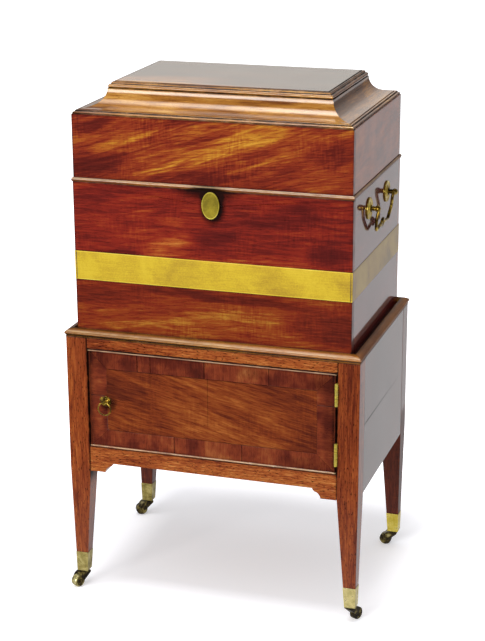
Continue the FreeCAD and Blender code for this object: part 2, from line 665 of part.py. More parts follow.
def pull_spindle():
    """The eye that the ring hangs in, the ball that leans up from it and the shaft behind."""
    start, neck, wide = ROSETTE_THICK + PULL_GAP, PULL_NECK_RADIUS, PULL_COLLAR_RADIUS
    end = RING_STAND_OFF + EYE_PAST_RING
    outline = [(0, start), (wide, start), (wide, start + 1.2), ((neck, start + 2.2), (neck, start + 4.0)),
               (neck, end - 0.8), ((neck - 0.2, end - 0.2), (neck - 0.8, end)), (0, end)]
    eye = turned(outline, V(PULL_X, DOOR_FRONT, PULL_Z), V(0, -1, 0))
    foot = V(PULL_X, DOOR_FRONT - RING_STAND_OFF - 0.4, PULL_Z + 1.8)
    middle = foot + V(-KNOB_LEAN, -KNOB_FORWARD, KNOB_RISE)
    pole = math.degrees(math.acos(TIP_FLAT / KNOB_RADIUS))
    ball = Part.makeSphere(KNOB_RADIUS, middle, V(0, 0, 1), -pole, pole, 360)
    waist = Part.makeCone(2.6, 2.9, (middle - foot).Length, foot, middle - foot)
    shaft_end = DOOR_BACK + CATCH_GAP + CATCH_THICK + NUT_THICK
    shaft = cylinder(SPINDLE_RADIUS, V(PULL_X, DOOR_FRONT - start - 0.5, PULL_Z),
                     V(PULL_X, shaft_end, PULL_Z))
    hole_y = DOOR_FRONT - RING_STAND_OFF
    hole = cylinder(RING_HOLE_RADIUS, V(PULL_X - 8, hole_y, PULL_Z), V(PULL_X + 8, hole_y, PULL_Z))
    return fused(eye, waist, ball, shaft).cut(hole)


def pull_ring():
    """The drop ring, raised by half of its curve's rise inside the spindle's hole."""
    rise = RING_RADIUS - math.sqrt(RING_RADIUS ** 2 - PULL_NECK_RADIUS ** 2)
    centre = V(PULL_X, DOOR_FRONT - RING_STAND_OFF, PULL_Z - RING_RADIUS + rise / 2)
    return Part.makeTorus(RING_RADIUS, RING_WIRE_RADIUS, centre, V(0, 1, 0))


def catch_tongue():
    """The tongue behind the door, hanging clear at rest, and the nut that holds it."""
    y = DOOR_BACK + CATCH_GAP
    half = CATCH_WIDTH / 2
    centre = V(PULL_X, y, PULL_Z)
    tongue = fused(box(PULL_X - half, PULL_X + half, y, y + CATCH_THICK, PULL_Z - CATCH_REACH, PULL_Z),
                   cylinder(half + 1.5, centre, centre + V(0, CATCH_THICK, 0)))
    nut = cylinder(NUT_RADIUS, centre + V(0, CATCH_THICK, 0), centre + V(0, CATCH_THICK + NUT_THICK, 0))
    hole = cylinder(SPINDLE_RADIUS + FIXED_FIT, centre - V(0, 1, 0), centre + V(0, 20, 0))
    return tongue.cut(hole), nut.cut(hole)


# ---------------------------------------------------------------- chest
def brass_groove():
    """The shallow groove round the chest that the brass band lies in."""
    deep = BRASS_THICK - BRASS_PROUD
    outer = box(-CHEST_X - 1, CHEST_X + 1, -CHEST_Y - 1, CHEST_Y + 1, BRASS_BOTTOM, BRASS_TOP)
    inner = box(-CHEST_X + deep, CHEST_X - deep, -CHEST_Y + deep, CHEST_Y - deep,
                BRASS_BOTTOM - 1, BRASS_TOP + 1)
    return outer.cut(inner)


def bead_rebate():
    low = CHEST_TOP - CHEST_BEAD_HEIGHT
    deep = CHEST_BEAD_REBATE
    outer = box(-CHEST_X - 1, CHEST_X + 1, -CHEST_Y - 1, CHEST_Y + 1, low, CHEST_TOP + 1)
    return outer.cut(box(-CHEST_X + deep, CHEST_X - deep, -CHEST_Y + deep, CHEST_Y - deep,
                         low - 1, CHEST_TOP + 2))


def chest_front_and_back():
    cuts = Part.Compound([brass_groove(), bead_rebate()])
    front = box(-CHEST_X, CHEST_X, -CHEST_Y, -INNER_Y, STAND_TOP, CHEST_TOP).cut(cuts)
    back = box(-CHEST_X, CHEST_X, INNER_Y, CHEST_Y, STAND_TOP, CHEST_TOP).cut(cuts)
    front = front.cut(Part.Compound([lock_box(1), keyhole(-CHEST_Y - 2, -INNER_Y)]))
    return front, back.cut(Part.Compound(lid_hinge_recesses(-1)))


def chest_side():
    """The right side, between the front and the back, bored for the handle's shanks."""
    side = box(INNER_X, CHEST_X, -INNER_Y, INNER_Y, STAND_TOP, CHEST_TOP)
    holes = [cylinder(SHANK_RADIUS + SHANK_FIT, V(INNER_X - 1, y, HANDLE_Z), V(CHEST_X + 1, y, HANDLE_Z))
             for y in (-HANDLE_SPACING / 2, HANDLE_SPACING / 2)]
    return side.cut(Part.Compound([brass_groove(), bead_rebate()] + holes))


def chest_bottom():
    return box(-INNER_X, INNER_X, -INNER_Y, INNER_Y, STAND_TOP, INNER_BOTTOM)


def chest_bead():
    deep, high, proud = CHEST_BEAD_REBATE, CHEST_BEAD_HEIGHT, CHEST_BEAD_PROUD
    outline = [(deep, 0), (0, 0), ((-proud, high / 2), (0, high)), (deep, high)]
    pieces = mitred_frame(outline, CHEST_X, CHEST_Y, deep, proud + 1)
    for piece in pieces:
        piece.translate(V(0, 0, CHEST_TOP - high))
    cuts = Part.Compound(lid_hinge_recesses(-1))
    return [piece.cut(cuts) for piece in pieces]


def brass_band():
    """Front and back strips, and side strips whose ends lap round the corners."""
    out_x, out_y = CHEST_X + BRASS_PROUD, CHEST_Y + BRASS_PROUD
    in_x, in_y = out_x - BRASS_THICK, out_y - BRASS_THICK
    z0, z1 = BRASS_BOTTOM, BRASS_TOP
    ring = box(-out_x, out_x, -out_y, out_y, z0, z1).cut(box(-in_x, in_x, -in_y, in_y, z0 - 1, z1 + 1))
    seam = CHEST_X - BRASS_LAP
    front = ring.common(box(-seam, seam, -out_y, 0, z0, z1))
    back = ring.common(box(-seam, seam, 0, out_y, z0, z1))
    right = ring.common(box(seam, out_x, -out_y, out_y, z0, z1))
    left = ring.common(box(-out_x, -seam, -out_y, out_y, z0, z1))
    return front, right, back, left


def dividers():
    """One long board and the cross boards, halved over one another."""
    top = INNER_BOTTOM + DIVIDER_HEIGHT
    middle = INNER_BOTTOM + DIVIDER_HEIGHT / 2
    half = DIVIDER_THICK / 2
    slot = half + DIVIDER_FIT / 2
    pitch = 2 * INNER_X / CELLS_LONG
    places = [-INNER_X + pitch * index for index in range(1, CELLS_LONG)]
    long_board = box(-INNER_X, INNER_X, -half, half, INNER_BOTTOM, top)
    cross_boards = []
    for x in places:
        long_board = long_board.cut(box(x - slot, x + slot, -slot, slot, middle, top + 1))
        cross = box(x - half, x + half, -INNER_Y, INNER_Y, INNER_BOTTOM, top)
        cross_boards.append(cross.cut(box(x - slot, x + slot, -slot, slot, INNER_BOTTOM - 1, middle)))
    return long_board, cross_boards


# ---------------------------------------------------------------- lock and keyhole
def lock_box(past):
    """The room that the lock fills, run past the wood's top and inner face by a margin."""
    half = LOCK_WIDTH / 2
    return box(LOCK_X - half, LOCK_X + half, -INNER_Y - LOCK_DEPTH, -INNER_Y + past,
               CHEST_TOP - LOCK_HEIGHT, CHEST_TOP + past)


def keyhole(y0, y1):
    half = KEY_SLOT_WIDTH / 2
    return fused(cylinder(KEYHOLE_RADIUS, V(LOCK_X, y0, KEYHOLE_Z), V(LOCK_X, y1, KEYHOLE_Z)),
                 box(LOCK_X - half, LOCK_X + half, y0, y1, KEYHOLE_Z - KEY_SLOT_DROP, KEYHOLE_Z))


def staple_centres():
    return (LOCK_X - STAPLE_OFFSET, LOCK_X + STAPLE_OFFSET)


def bolt_level():
    """The height of the underside of the bolt's prongs."""
    return CHEST_TOP - STAPLE_DROP + BOLT_LIFT


def lock_case():
    """The lock's case: hollow for the bolt and the key, open above for the lid's two staples."""
    y0, y1 = -INNER_Y - LOCK_DEPTH + LOCK_PLATE, -INNER_Y - LOCK_PLATE
    half = LOCK_WIDTH / 2 - LOCK_PLATE
    low = CHEST_TOP - LOCK_HEIGHT + LOCK_PLATE
    hollow = box(LOCK_X - half, LOCK_X + half, y0, y1, low, CHEST_TOP - LOCK_PLATE)
    slot_half = STAPLE_WIDTH / 2 + 1.0
    slots = [box(x - slot_half, x + slot_half, y0, y1, low, CHEST_TOP + 1) for x in staple_centres()]
    case = lock_box(0).cut(Part.Compound([hollow] + slots))
    post_end = V(LOCK_X, -INNER_Y - LOCK_PLATE / 2, KEYHOLE_Z)
    post = cylinder(KEY_POST_RADIUS, V(LOCK_X, y0, KEYHOLE_Z), post_end)
    return fused(case.cut(keyhole(y0 - 5, y0 + 0.5)), post)


def lock_bolt():
    """The bolt: a bar with a riser and a prong for each staple, withdrawn at rest."""
    y0, y1 = -INNER_Y - LOCK_DEPTH + LOCK_PLATE + BOLT_FIT / 2, -INNER_Y - LOCK_PLATE - BOLT_FIT / 2
    middle = -INNER_Y - LOCK_DEPTH / 2
    thin0, thin1 = middle - PRONG_THICK / 2, middle + PRONG_THICK / 2
    prong_low = bolt_level()
    bar_high = CHEST_TOP - STAPLE_DROP - BOLT_BAR_DROP
    bar_low = bar_high - BOLT_HEIGHT
    tip = STAPLE_WIDTH / 2 + BOLT_TIP_GAP
    starts = [x - tip - BOLT_TRAVEL - BOLT_RISER for x in staple_centres()]
    bar = box(starts[0], starts[1] + BOLT_RISER, y0, y1, bar_low, bar_high)
    prongs = []
    for start, x in zip(starts, staple_centres()):
        prongs.append(box(start, start + BOLT_RISER, thin0, thin1, bar_high - 0.5, prong_low + BOLT_HEIGHT))
        prongs.append(box(start, x - tip, thin0, thin1, prong_low, prong_low + BOLT_HEIGHT))
    return fused(bar, *prongs)


def lid_link_plate():
    """The plate under the lid's front and its two U-shaped staples, which drop into the lock."""
    y0, y1 = -INNER_Y - LOCK_DEPTH, -INNER_Y
    plate = box(LOCK_X - LOCK_WIDTH / 2, LOCK_X + LOCK_WIDTH / 2, y0, y1, LID_BOTTOM, LID_BOTTOM + LOCK_PLATE)
    middle = (y0 + y1) / 2
    hole_half = (PRONG_THICK + BOLT_FIT) / 2
    half = hole_half + STAPLE_WALL
    staples = []
    for x in staple_centres():
        body = box(x - STAPLE_WIDTH / 2, x + STAPLE_WIDTH / 2, middle - half, middle + half,
                   CHEST_TOP - STAPLE_DROP, LID_BOTTOM + 0.5)
        hole = box(x - STAPLE_WIDTH, x + STAPLE_WIDTH, middle - hole_half, middle + hole_half,
                   bolt_level() - BOLT_FIT, LID_BOTTOM)
        staples.append(body.cut(hole))
    return fused(plate, *staples)


def oval(width, height, y0, y1):
    """An upright oval disc centred on the cover's middle, between two depths."""
    ellipse = Part.Ellipse(V(0, 0, 0), height / 2, width / 2)
    face = Part.Face(Part.Wire(ellipse.toShape()))
    solid = face.extrude(V(0, 0, y1 - y0))
    return placed(solid, V(LOCK_X, y0, COVER_Z), V(0, 0, 1), V(1, 0, 0), V(0, 1, 0))


def cover_pivot():
    return V(LOCK_X, 0, COVER_Z + COVER_PIVOT_UP)


def cover_back():
    """The depth of the cover's back, just in front of the chest's bead."""
    return -CHEST_Y - CHEST_BEAD_PROUD - COVER_GAP


def keyhole_plate():
    """An oval boss on the chest's front with the keyhole and the cover's pivot pin."""
    front = cover_back() + COVER_GAP
    border = 2 * KEY_PLATE_BORDER
    plate = oval(COVER_WIDTH - border, COVER_HEIGHT - border, front, -CHEST_Y)
    pivot = cover_pivot()
    pin_end = cover_back() - COVER_THICK
    pin = cylinder(COVER_PIN_RADIUS, pivot + V(0, front + 0.5, 0), pivot + V(0, pin_end, 0))
    plate = plate.cut(keyhole(front - 1, -CHEST_Y + 1))
    bead_room = box(-50, 50, front - 1, -CHEST_Y + 1, CHEST_TOP - CHEST_BEAD_HEIGHT, CHEST_TOP + 5)
    return fused(plate.cut(bead_room), pin)


def keyhole_cover():
    """The oval cover, with a raised rim, hung from the pin near its top."""
    back = cover_back()
    disc = oval(COVER_WIDTH, COVER_HEIGHT, back - COVER_THICK - COVER_RIM_PROUD, back)
    rim = 2 * COVER_RIM
    hollow = oval(COVER_WIDTH - rim, COVER_HEIGHT - rim, back - COVER_THICK - COVER_RIM_PROUD - 1,
                  back - COVER_THICK)
    pivot = cover_pivot()
    hole = cylinder(COVER_PIN_RADIUS + RUNNING_FIT, pivot + V(0, back - 10, 0), pivot + V(0, back + 1, 0))
    return disc.cut(hollow).cut(hole)


# ---------------------------------------------------------------- handles
def handle_rosette(y):
    """A dished round plate with a rolled rim and a raised middle."""
    bore = SHANK_RADIUS + SHANK_FIT
    rim = ROSETTE_R
    outline = [(bore, 0), (rim - 1.0, 0), ((rim, ROSETTE_EDGE), (rim - 1.2, ROSETTE_EDGE + 1.0)),
               ((rim - 5.5, 1.5), (8.0, ROSETTE_DISH - 0.6)), (6.4, ROSETTE_DISH), (bore, ROSETTE_DISH)]
    return turned(outline, V(CHEST_X, y, HANDLE_Z), V(1, 0, 0))


def handle_post(y):
    """A turned post with a ball end that holds the bail, and its threaded shank through the side."""
    start, out = ROSETTE_DISH, HANDLE_AXIS_OUT
    low = -WALL - SHANK_PAST_WALL
    outline = [(0, low), (SHANK_RADIUS, low), (SHANK_RADIUS, start), (POST_COLLAR, start),
               ((POST_COLLAR + 0.7, start + 0.9), (POST_COLLAR, start + 1.8)),
               ((POST_RADIUS, start + 2.6), (POST_RADIUS, start + 3.6)),
               ((POST_RADIUS + 0.9, start + 4.4), (POST_RADIUS, start + 5.2)),
               (POST_RADIUS, out - math.sqrt(BALL_RADIUS ** 2 - POST_RADIUS ** 2)),
               ((BALL_RADIUS, out), (POST_RADIUS, out + math.sqrt(BALL_RADIUS ** 2 - POST_RADIUS ** 2)))]
    outline += ball_cap(BALL_RADIUS, out, POST_RADIUS)
    post = turned(outline, V(CHEST_X, y, HANDLE_Z), V(1, 0, 0))
    inward = -1 if y > 0 else 1
    axis = V(HANDLE_AXIS_X, y, HANDLE_Z)
    socket_end = axis - V(0, inward * (BAIL_PIN_IN_BALL + 0.6), 0)
    socket = cylinder(BAIL_PIN_RADIUS + RUNNING_FIT, socket_end, axis + V(0, inward * 8, 0))
    nut_x = CHEST_X - WALL
    nut = cylinder(NUT_RADIUS, V(nut_x - NUT_THICK, y, HANDLE_Z), V(nut_x, y, HANDLE_Z))
    bore = cylinder(SHANK_RADIUS + FIXED_FIT, V(nut_x - 9, y, HANDLE_Z), V(nut_x + 1, y, HANDLE_Z))
    return post.cut(socket), nut.cut(bore)


def rounded_path(points, radii):
    """A wire of straight runs joined by tangent arcs, with one radius for each inner point."""
    edges = []
    last = points[0]
    for before, corner, after, radius in zip(points, points[1:], points[2:], radii):
        u = (before - corner).normalize()
        w = (after - corner).normalize()
        half = u.getAngle(w) / 2
        back = radius / math.tan(half)
        middle_way = (u + w).normalize()
        centre = corner + middle_way * (radius / math.sin(half))
        start, end = corner + u * back, corner + w * back
        edges.append(Part.LineSegment(last, start).toShape())
        edges.append(Part.Arc(start, centre - middle_way * radius, end).toShape())
        last = end
    edges.append(Part.LineSegment(last, points[-1]).toShape())
    return Part.Wire(edges)


def bail_right():
    """A swan-neck bail with a ring at its middle, hung from the pins in the posts' balls."""
    half = HANDLE_SPACING / 2
    ring_z = -BAIL_DROP
    route = [V(0, -half + 3.6, 0), V(0, -half + BAIL_NECK_IN, 0),
             V(0, -half + BAIL_BELLY_IN, -BAIL_BELLY_DROP), V(0, -half + BAIL_CORNER_IN, -BAIL_CORNER_DROP),
             V(0, -BAIL_SCROLL_RADIUS, ring_z - 0.6)]
    path = rounded_path(route, BAIL_BENDS)
    start = Part.makeCircle(BAIL_RADIUS, route[0], V(0, 1, 0))
    arm = Part.Solid(path.makePipe(Part.Face(Part.Wire(start))))
    end = cylinder(BAIL_PIN_RADIUS, V(0, -half - BAIL_PIN_IN_BALL, 0), V(0, -half + BAIL_SHOULDER - 0.4, 0))
    collar = V(0, -half + BAIL_SHOULDER, 0)
    sleeve = box(-6, 6, -half - 8, collar.y, -6, 6).cut(cylinder(BAIL_PIN_RADIUS, V(0, -half - 9, 0), collar))
    arm = arm.cut(sleeve)
    other = arm.mirror(V(0, 0, 0), V(0, 1, 0))
    other_end = end.mirror(V(0, 0, 0), V(0, 1, 0))
    scroll = Part.makeTorus(BAIL_SCROLL_RADIUS, BAIL_SCROLL_WIRE, V(0, 0, ring_z), V(1, 0, 0))
    bail = fused(arm, end, other, other_end, scroll)
    bail.rotate(V(0, 0, 0), V(0, 1, 0), HANDLE_TILT)
    bail.translate(V(HANDLE_AXIS_X, 0, HANDLE_Z))
    return bail


# ---------------------------------------------------------------- lid
def lid_box_sides():
    """Front, back and right side of the lid's box, with the link plate and hinges let in."""
    front = box(-LID_X, LID_X, -LID_Y, -LID_Y + LID_WALL, LID_BOTTOM, LID_BOX_TOP)
    half = LOCK_WIDTH / 2
    front = front.cut(box(LOCK_X - half, LOCK_X + half, -INNER_Y - LOCK_DEPTH, -INNER_Y + 1,
                          LID_BOTTOM - 1, LID_BOTTOM + LOCK_PLATE))
    back = box(-LID_X, LID_X, LID_Y - LID_WALL, LID_Y, LID_BOTTOM, LID_BOX_TOP)
    back = back.cut(Part.Compound(lid_hinge_recesses(1)))
    inner_y = LID_Y - LID_WALL
    side = box(LID_X - LID_WALL, LID_X, -inner_y, inner_y, LID_BOTTOM, LID_BOX_TOP)
    return front, back, side


def lid_moulding():
    """Mitred lengths: a double bead, a near-flat slope, a deep cove and a double bead under the cap."""
    rise, inset = CAP_RISE, CAP_INSET
    ledge = rise - CAP_BOARD_THICK
    outline = [(inset + CAP_LEDGE, 0), (1.4, 0), ((1.6, 2.4), (4.6, 3.9)), ((5.4, 5.9), (8.8, 6.0)),
               (9.4, 5.4), (10.4, 7.1),
               ((21.5, 8.7), (31.0, 12.3)), ((41.6, 23.4), (44.6, rise - 10.7)), (46.1, rise - 10.5),
               ((45.5, rise - 6.6), (49.2, rise - 4.4)), ((49.9, rise - 1.9), (52.6, rise - 0.9)),
               (53.2, rise - 1.6), (inset, rise - 1.6), (inset, ledge), (inset + CAP_LEDGE, ledge)]
    frame = mitred_frame(outline, LID_X, LID_Y, inset + CAP_LEDGE)
    for piece in frame:
        piece.translate(V(0, 0, LID_BOX_TOP))
    return frame


def lid_cap():
    """The flat top board, with its upper edges eased."""
    x, y = LID_X - CAP_INSET, LID_Y - CAP_INSET
    top = LID_BOX_TOP + CAP_RISE
    board = box(-x, x, -y, y, top - CAP_BOARD_THICK, top)
    edges = [edge for edge in board.Edges if edge.BoundBox.ZMin > top - 0.01]
    return board.makeFillet(1.2, edges)


def lid_hinge_recesses(side):
    """Shallow cuts for the lid's hinge leaves: side +1 is in the lid, -1 is in the chest's top."""
    cuts = []
    near = LID_AXIS_Z
    far = LID_AXIS_Z + side * (LID_GAP / 2 + LID_LEAF_THICK)
    for x in (-LID_HINGE_X, LID_HINGE_X):
        half = LID_HINGE_LENGTH / 2
        cuts.append(box(x - half, x + half, LID_AXIS_Y - LID_LEAF_DEPTH, LID_AXIS_Y,
                        min(near, far), max(near, far)))
    return cuts


def lid_hinges():
    """For both hinges: the leaves on the chest with their pins, and the leaves on the lid."""
    clear = LID_KNUCKLE_RADIUS + LEAF_CLEARANCE
    low_leaf, high_leaf, pin = butt_hinge(LID_HINGE_LENGTH, LID_KNUCKLE_RADIUS, LID_LEAF_THICK,
                                          LID_LEAF_DEPTH, LID_GAP, clear)
    fixed = []
    moving = []
    for x in (-LID_HINGE_X, LID_HINGE_X):
        origin = V(x + LID_HINGE_LENGTH / 2, LID_AXIS_Y, LID_AXIS_Z)
        down, forward, left = V(0, 0, -1), V(0, -1, 0), V(-1, 0, 0)
        fixed += [placed(shape, origin, down, forward, left) for shape in (low_leaf, pin)]
        moving.append(placed(high_leaf, origin, down, forward, left))
    return fixed, moving


# ---------------------------------------------------------------- files
def save_stand():
    for corner in CORNERS:
        save("leg_" + corner, leg(corner))
        save("caster_socket_" + corner, caster_socket(corner))
    save("stand_side_left", *side_boards(-1))
    save("stand_side_right", *side_boards(1))
    save("stand_back", back_panel())
    save("front_top_rail", front_top_rail())
    save("front_bottom_rail", *front_bottom_rail())
    save("cupboard_floor", inside_board(FLOOR_TOP - FLOOR_THICK, FLOOR_TOP))
    save("stand_dust_board", inside_board(STAND_TOP - DUST_BOARD_THICK, STAND_TOP))
    save("stand_moulding", *tray_moulding())


def save_casters():
    fork, axle = caster_fork()
    wheel = caster_wheel()
    for corner in CORNERS:
        save("caster_fork_" + corner, at_caster(fork, corner), at_caster(axle, corner))
        save("caster_wheel_" + corner, at_caster(wheel, corner))


def save_door():
    fixed, moving = door_hinges()
    save("door_hinge_leg_leaves", *fixed)
    save("door_hinge_door_leaves", *moving)
    save("door_board", door_board())
    save("door_field_veneer", door_field_veneer())
    save("door_crossbanding", *door_crossbanding())
    save("door_cockbead", *door_cockbead())
    save("pull_backplate", pull_backplate())
    save("pull_spindle", pull_spindle())
    save("pull_ring", pull_ring())
    save("door_catch", *catch_tongue())


def save_chest():
    front, back = chest_front_and_back()
    side = chest_side()
    save("chest_front", front)
    save("chest_back", back)
    save("chest_side_right", side)
    save("chest_side_left", mirrored(side))
    save("chest_bottom", chest_bottom())
    save("chest_bead", *chest_bead())
    save("brass_band", *brass_band())
    long_board, cross_boards = dividers()
    save("divider_long", long_board)
    save("divider_cross", *cross_boards)
    save("lock_case", lock_case())
    save("lock_bolt", lock_bolt())
    save("keyhole_plate", keyhole_plate())
    save("keyhole_cover", keyhole_cover())


def save_handles():
    ends = (-HANDLE_SPACING / 2, HANDLE_SPACING / 2)
    rosettes = [handle_rosette(y) for y in ends]
    posts = [shape for y in ends for shape in handle_post(y)]
    bail = bail_right()
    save("handle_rosettes", *rosettes, *[mirrored(shape) for shape in rosettes])
    save("handle_posts", *posts, *[mirrored(shape) for shape in posts])
    save("handle_bail_right", bail)
    save("handle_bail_left", mirrored(bail))


def save_lid():
    fixed, moving = lid_hinges()
    front, back, side = lid_box_sides()
    save("lid_hinge_chest_leaves", *fixed)
    save("lid_hinge_lid_leaves", *moving)
    save("lid_front", front)
    save("lid_back", back)
    save("lid_side_right", side)
    save("lid_side_left", mirrored(side))
    save("lid_moulding", *lid_moulding())
    save("lid_cap", lid_cap())
    save("lid_link_plate", lid_link_plate())


os.makedirs("parts", exist_ok=True)
save_stand()
save_casters()
save_door()
save_chest()
save_handles()
save_lid()
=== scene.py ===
import math

import bmesh
import bpy
from mathutils import Matrix, Vector


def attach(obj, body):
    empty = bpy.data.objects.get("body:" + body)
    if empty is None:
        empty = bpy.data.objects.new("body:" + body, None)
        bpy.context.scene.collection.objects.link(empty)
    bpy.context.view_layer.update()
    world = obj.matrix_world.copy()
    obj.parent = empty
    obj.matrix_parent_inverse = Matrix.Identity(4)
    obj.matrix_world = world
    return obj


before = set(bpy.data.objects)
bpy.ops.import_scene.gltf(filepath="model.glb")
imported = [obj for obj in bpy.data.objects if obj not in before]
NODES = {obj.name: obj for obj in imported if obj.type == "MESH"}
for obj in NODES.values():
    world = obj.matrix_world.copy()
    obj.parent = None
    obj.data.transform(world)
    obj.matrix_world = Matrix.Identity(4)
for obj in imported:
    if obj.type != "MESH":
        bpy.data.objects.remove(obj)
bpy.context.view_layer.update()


# ---------------------------------------------------------------- camera
CAMERA_AZIMUTH = math.radians(17.82)
CAMERA_ELEVATION = math.radians(17.72)
CAMERA_ROLL = math.radians(-0.29)
CAMERA_DISTANCE = 2.9085
CAMERA_TARGET = Vector((0.0014, 0.0, 0.4474))
CAMERA_LENS = 97.31
CAMERA_SENSOR = 36.0


def make_camera():
    """The photograph's camera, solved from the object's right angles."""
    data = bpy.data.cameras.new("camera")
    data.lens = CAMERA_LENS
    data.sensor_width = CAMERA_SENSOR
    camera = bpy.data.objects.new("camera", data)
    bpy.context.scene.collection.objects.link(camera)
    level = math.cos(CAMERA_ELEVATION)
    back = Vector((math.sin(CAMERA_AZIMUTH) * level, -math.cos(CAMERA_AZIMUTH) * level,
                   math.sin(CAMERA_ELEVATION)))
    right = (-back).cross(Vector((0, 0, 1))).normalized()
    up = right.cross(-back)
    c, s = math.cos(CAMERA_ROLL), math.sin(CAMERA_ROLL)
    x_axis, y_axis = right * c + up * s, up * c - right * s
    place = CAMERA_TARGET + back * CAMERA_DISTANCE
    camera.matrix_world = Matrix((
        (x_axis.x, y_axis.x, back.x, place.x),
        (x_axis.y, y_axis.y, back.y, place.y),
        (x_axis.z, y_axis.z, back.z, place.z),
        (0, 0, 0, 1)))
    bpy.context.scene.camera = camera


make_camera()


# ---------------------------------------------------------------- node trees
class Shader:
    """Short calls for building one node tree."""

    def __init__(self, tree):
        self.tree = tree
        self.tree.nodes.clear()

    def node(self, kind, values=None, out=0, **settings):
        """A new node's output. Its inputs take other nodes' sockets or plain values."""
        made = self.tree.nodes.new("ShaderNode" + kind)
        for key, value in settings.items():
            setattr(made, key, value)
        for key, value in (values or {}).items():
            if isinstance(value, bpy.types.NodeSocket):
                self.tree.links.new(value, made.inputs[key])
            else:
                made.inputs[key].default_value = value
        return made.outputs[out] if made.outputs else None

    def math(self, operation, a, b=0.0, c=0.0):
        return self.node("Math", {0: a, 1: b, 2: c}, operation=operation)

    def add(self, a, b):
        return self.math("ADD", a, b)

    def sub(self, a, b):
        return self.math("SUBTRACT", a, b)

    def mul(self, a, b):
        return self.math("MULTIPLY", a, b)

    def total(self, values):
        result = values[0]
        for value in values[1:]:
            result = self.add(result, value)
        return result

    def blend(self, factor, a, b):
        """A number between two."""
        return self.node("Mix", {0: factor, 2: a, 3: b}, data_type="FLOAT")

    def tint(self, factor, a, b, mode="MIX"):
        """A colour between two."""
        return self.node("Mix", {0: factor, 6: a, 7: b}, out=2, data_type="RGBA", blend_type=mode)

    def ease(self, value, low, high, to_low=0.0, to_high=1.0):
        """to_low at low, to_high at high, smooth between them and level beyond."""
        return self.node("MapRange", {0: value, 1: low, 2: high, 3: to_low, 4: to_high},
                         interpolation_type="SMOOTHSTEP")

    def combine(self, x, y, z):
        return self.node("CombineXYZ", {0: x, 1: y, 2: z})

    def noise(self, vector, scale=1.0, detail=2.0, rough=0.5, distortion=0.0):
        return self.node("TexNoise", {"Vector": vector, "Scale": scale, "Detail": detail,
                                      "Roughness": rough, "Distortion": distortion})

    def ramp(self, factor, stops):
        socket = self.node("ValToRGB", {0: factor})
        elements = socket.node.color_ramp.elements
        while len(elements) < len(stops):
            elements.new(0.5)
        for element, (place, colour) in zip(elements, stops):
            element.position = place
            element.color = colour
        return socket


def srgb(red, green, blue):
    """A linear colour from 0-255 display values."""
    linear = []
    for value in (red, green, blue):
        v = value / 255
        linear.append(v / 12.92 if v <= 0.04045 else ((v + 0.055) / 1.055) ** 2.4)
    return (*linear, 1.0)


def new_material(name):
    material = bpy.data.materials.new(name)
    material.use_nodes = True
    return material, Shader(material.node_tree)


GENERATED, OBJECT = 0, 3


def coordinates(shader, kind=OBJECT):
    """A point's coordinates, whole and by letter. Object ones are metres in the frame, at rest."""
    whole = shader.node("TexCoord", out=kind)
    split = shader.node("SeparateXYZ", {0: whole}).node.outputs
    return whole, {"x": split[0], "y": split[1], "z": split[2]}


# ---------------------------------------------------------------- shapes drawn in a material
def soft_spot(shader, u, v, spot):
    """A soft-edged slanted ellipse: (u, v, half length, half width, degrees, amount)."""
    cu, cv, long, wide, slant, amount = spot
    c, s = math.cos(math.radians(slant)), math.sin(math.radians(slant))
    du, dv = shader.sub(u, cu), shader.sub(v, cv)
    a = shader.math("MULTIPLY_ADD", du, c / long, shader.mul(dv, s / long))
    b = shader.math("MULTIPLY_ADD", dv, c / wide, shader.mul(du, -s / wide))
    far = shader.math("MULTIPLY_ADD", a, a, shader.mul(b, b))
    return shader.mul(shader.ease(far, 1.0, 0.0), amount)


def soft_ring(shader, u, v, ring):
    """An upright oval band, as drawn for a painted highlight on a rim: (u, v, half width, half height,
    share of the radius it covers, amount).
    """
    cu, cv, half_u, half_v, share, amount = ring
    a, b = shader.mul(shader.sub(u, cu), 1 / half_u), shader.mul(shader.sub(v, cv), 1 / half_v)
    far = shader.math("SQRT", shader.math("MULTIPLY_ADD", a, a, shader.mul(b, b)))
    return shader.mul(shader.ease(far, 1 - share, 1 - share * 0.6), amount)


def near_line(shader, value, place, reach):
    """1 on the line, easing to 0 at the reach on both sides."""
    far = shader.math("ABSOLUTE", shader.sub(value, place))
    return shader.ease(far, reach, 0.0)


def between(shader, value, low, high, edge=0.0005):
    """1 from low to high, easing to 0 over both ends."""
    above = shader.ease(value, low - edge, low + edge)
    below = shader.ease(value, high + edge, high - edge)
    return shader.mul(above, below)


# ---------------------------------------------------------------- wood
# What a wood's entry may say. Lengths are metres, angles degrees, and amounts steps along the palette
# unless they say otherwise.
#   axes                            the letters that run along, across and into the grain, xzy unless said
#   mitre                           two (letter, middle, half size) of a frame with mitred corners
#   seed                            picks another stretch of the same grain
#   level                           where on the palette the board lies
#   slope, grain_slope, wander      lean of the figure and of the fibres, and how far both stray
#   cloud, streak, fibre, mottle    amount of each layer; NAME_size is its length and width, pore_size too
#   curl                            how much the streaks curl
#   side                            a frame's side lengths: their tone, a painted shade where below 0, and their share of the coat
#   spots                           soft marks, after the two letters that place them
#   steps                           (letter, where, amount): jumps of tone between butted pieces
#   wash                            (letter, where, colour) laid over everything below
#   pores                           how black the pores are
#   lines                           joints: (letter, where, reach, share of black, letter, from, to)
#   line_wobble                     how far they stray
#   shade_and_dirt                  painted shade along joints, gaps and grooves and under edges, with patchy dirt: (letter, where, reach, share of black)
#   stains_and_shade                dark patches on the front, as soft_spot takes them, by x and z: stained patches, and painted shadows where so noted
#   painted_highlights, front_highlights_only  pale broken lines of painted highlight, and whether they
#   stay off the side lengths
#   rough, specular                 of the wood itself
#   coat, coat_rough, ripple        weight, haze and waviness of the polish
#   gloss                           (letter, from, to, weight): more polish beyond
SEED_STEP = 0.731
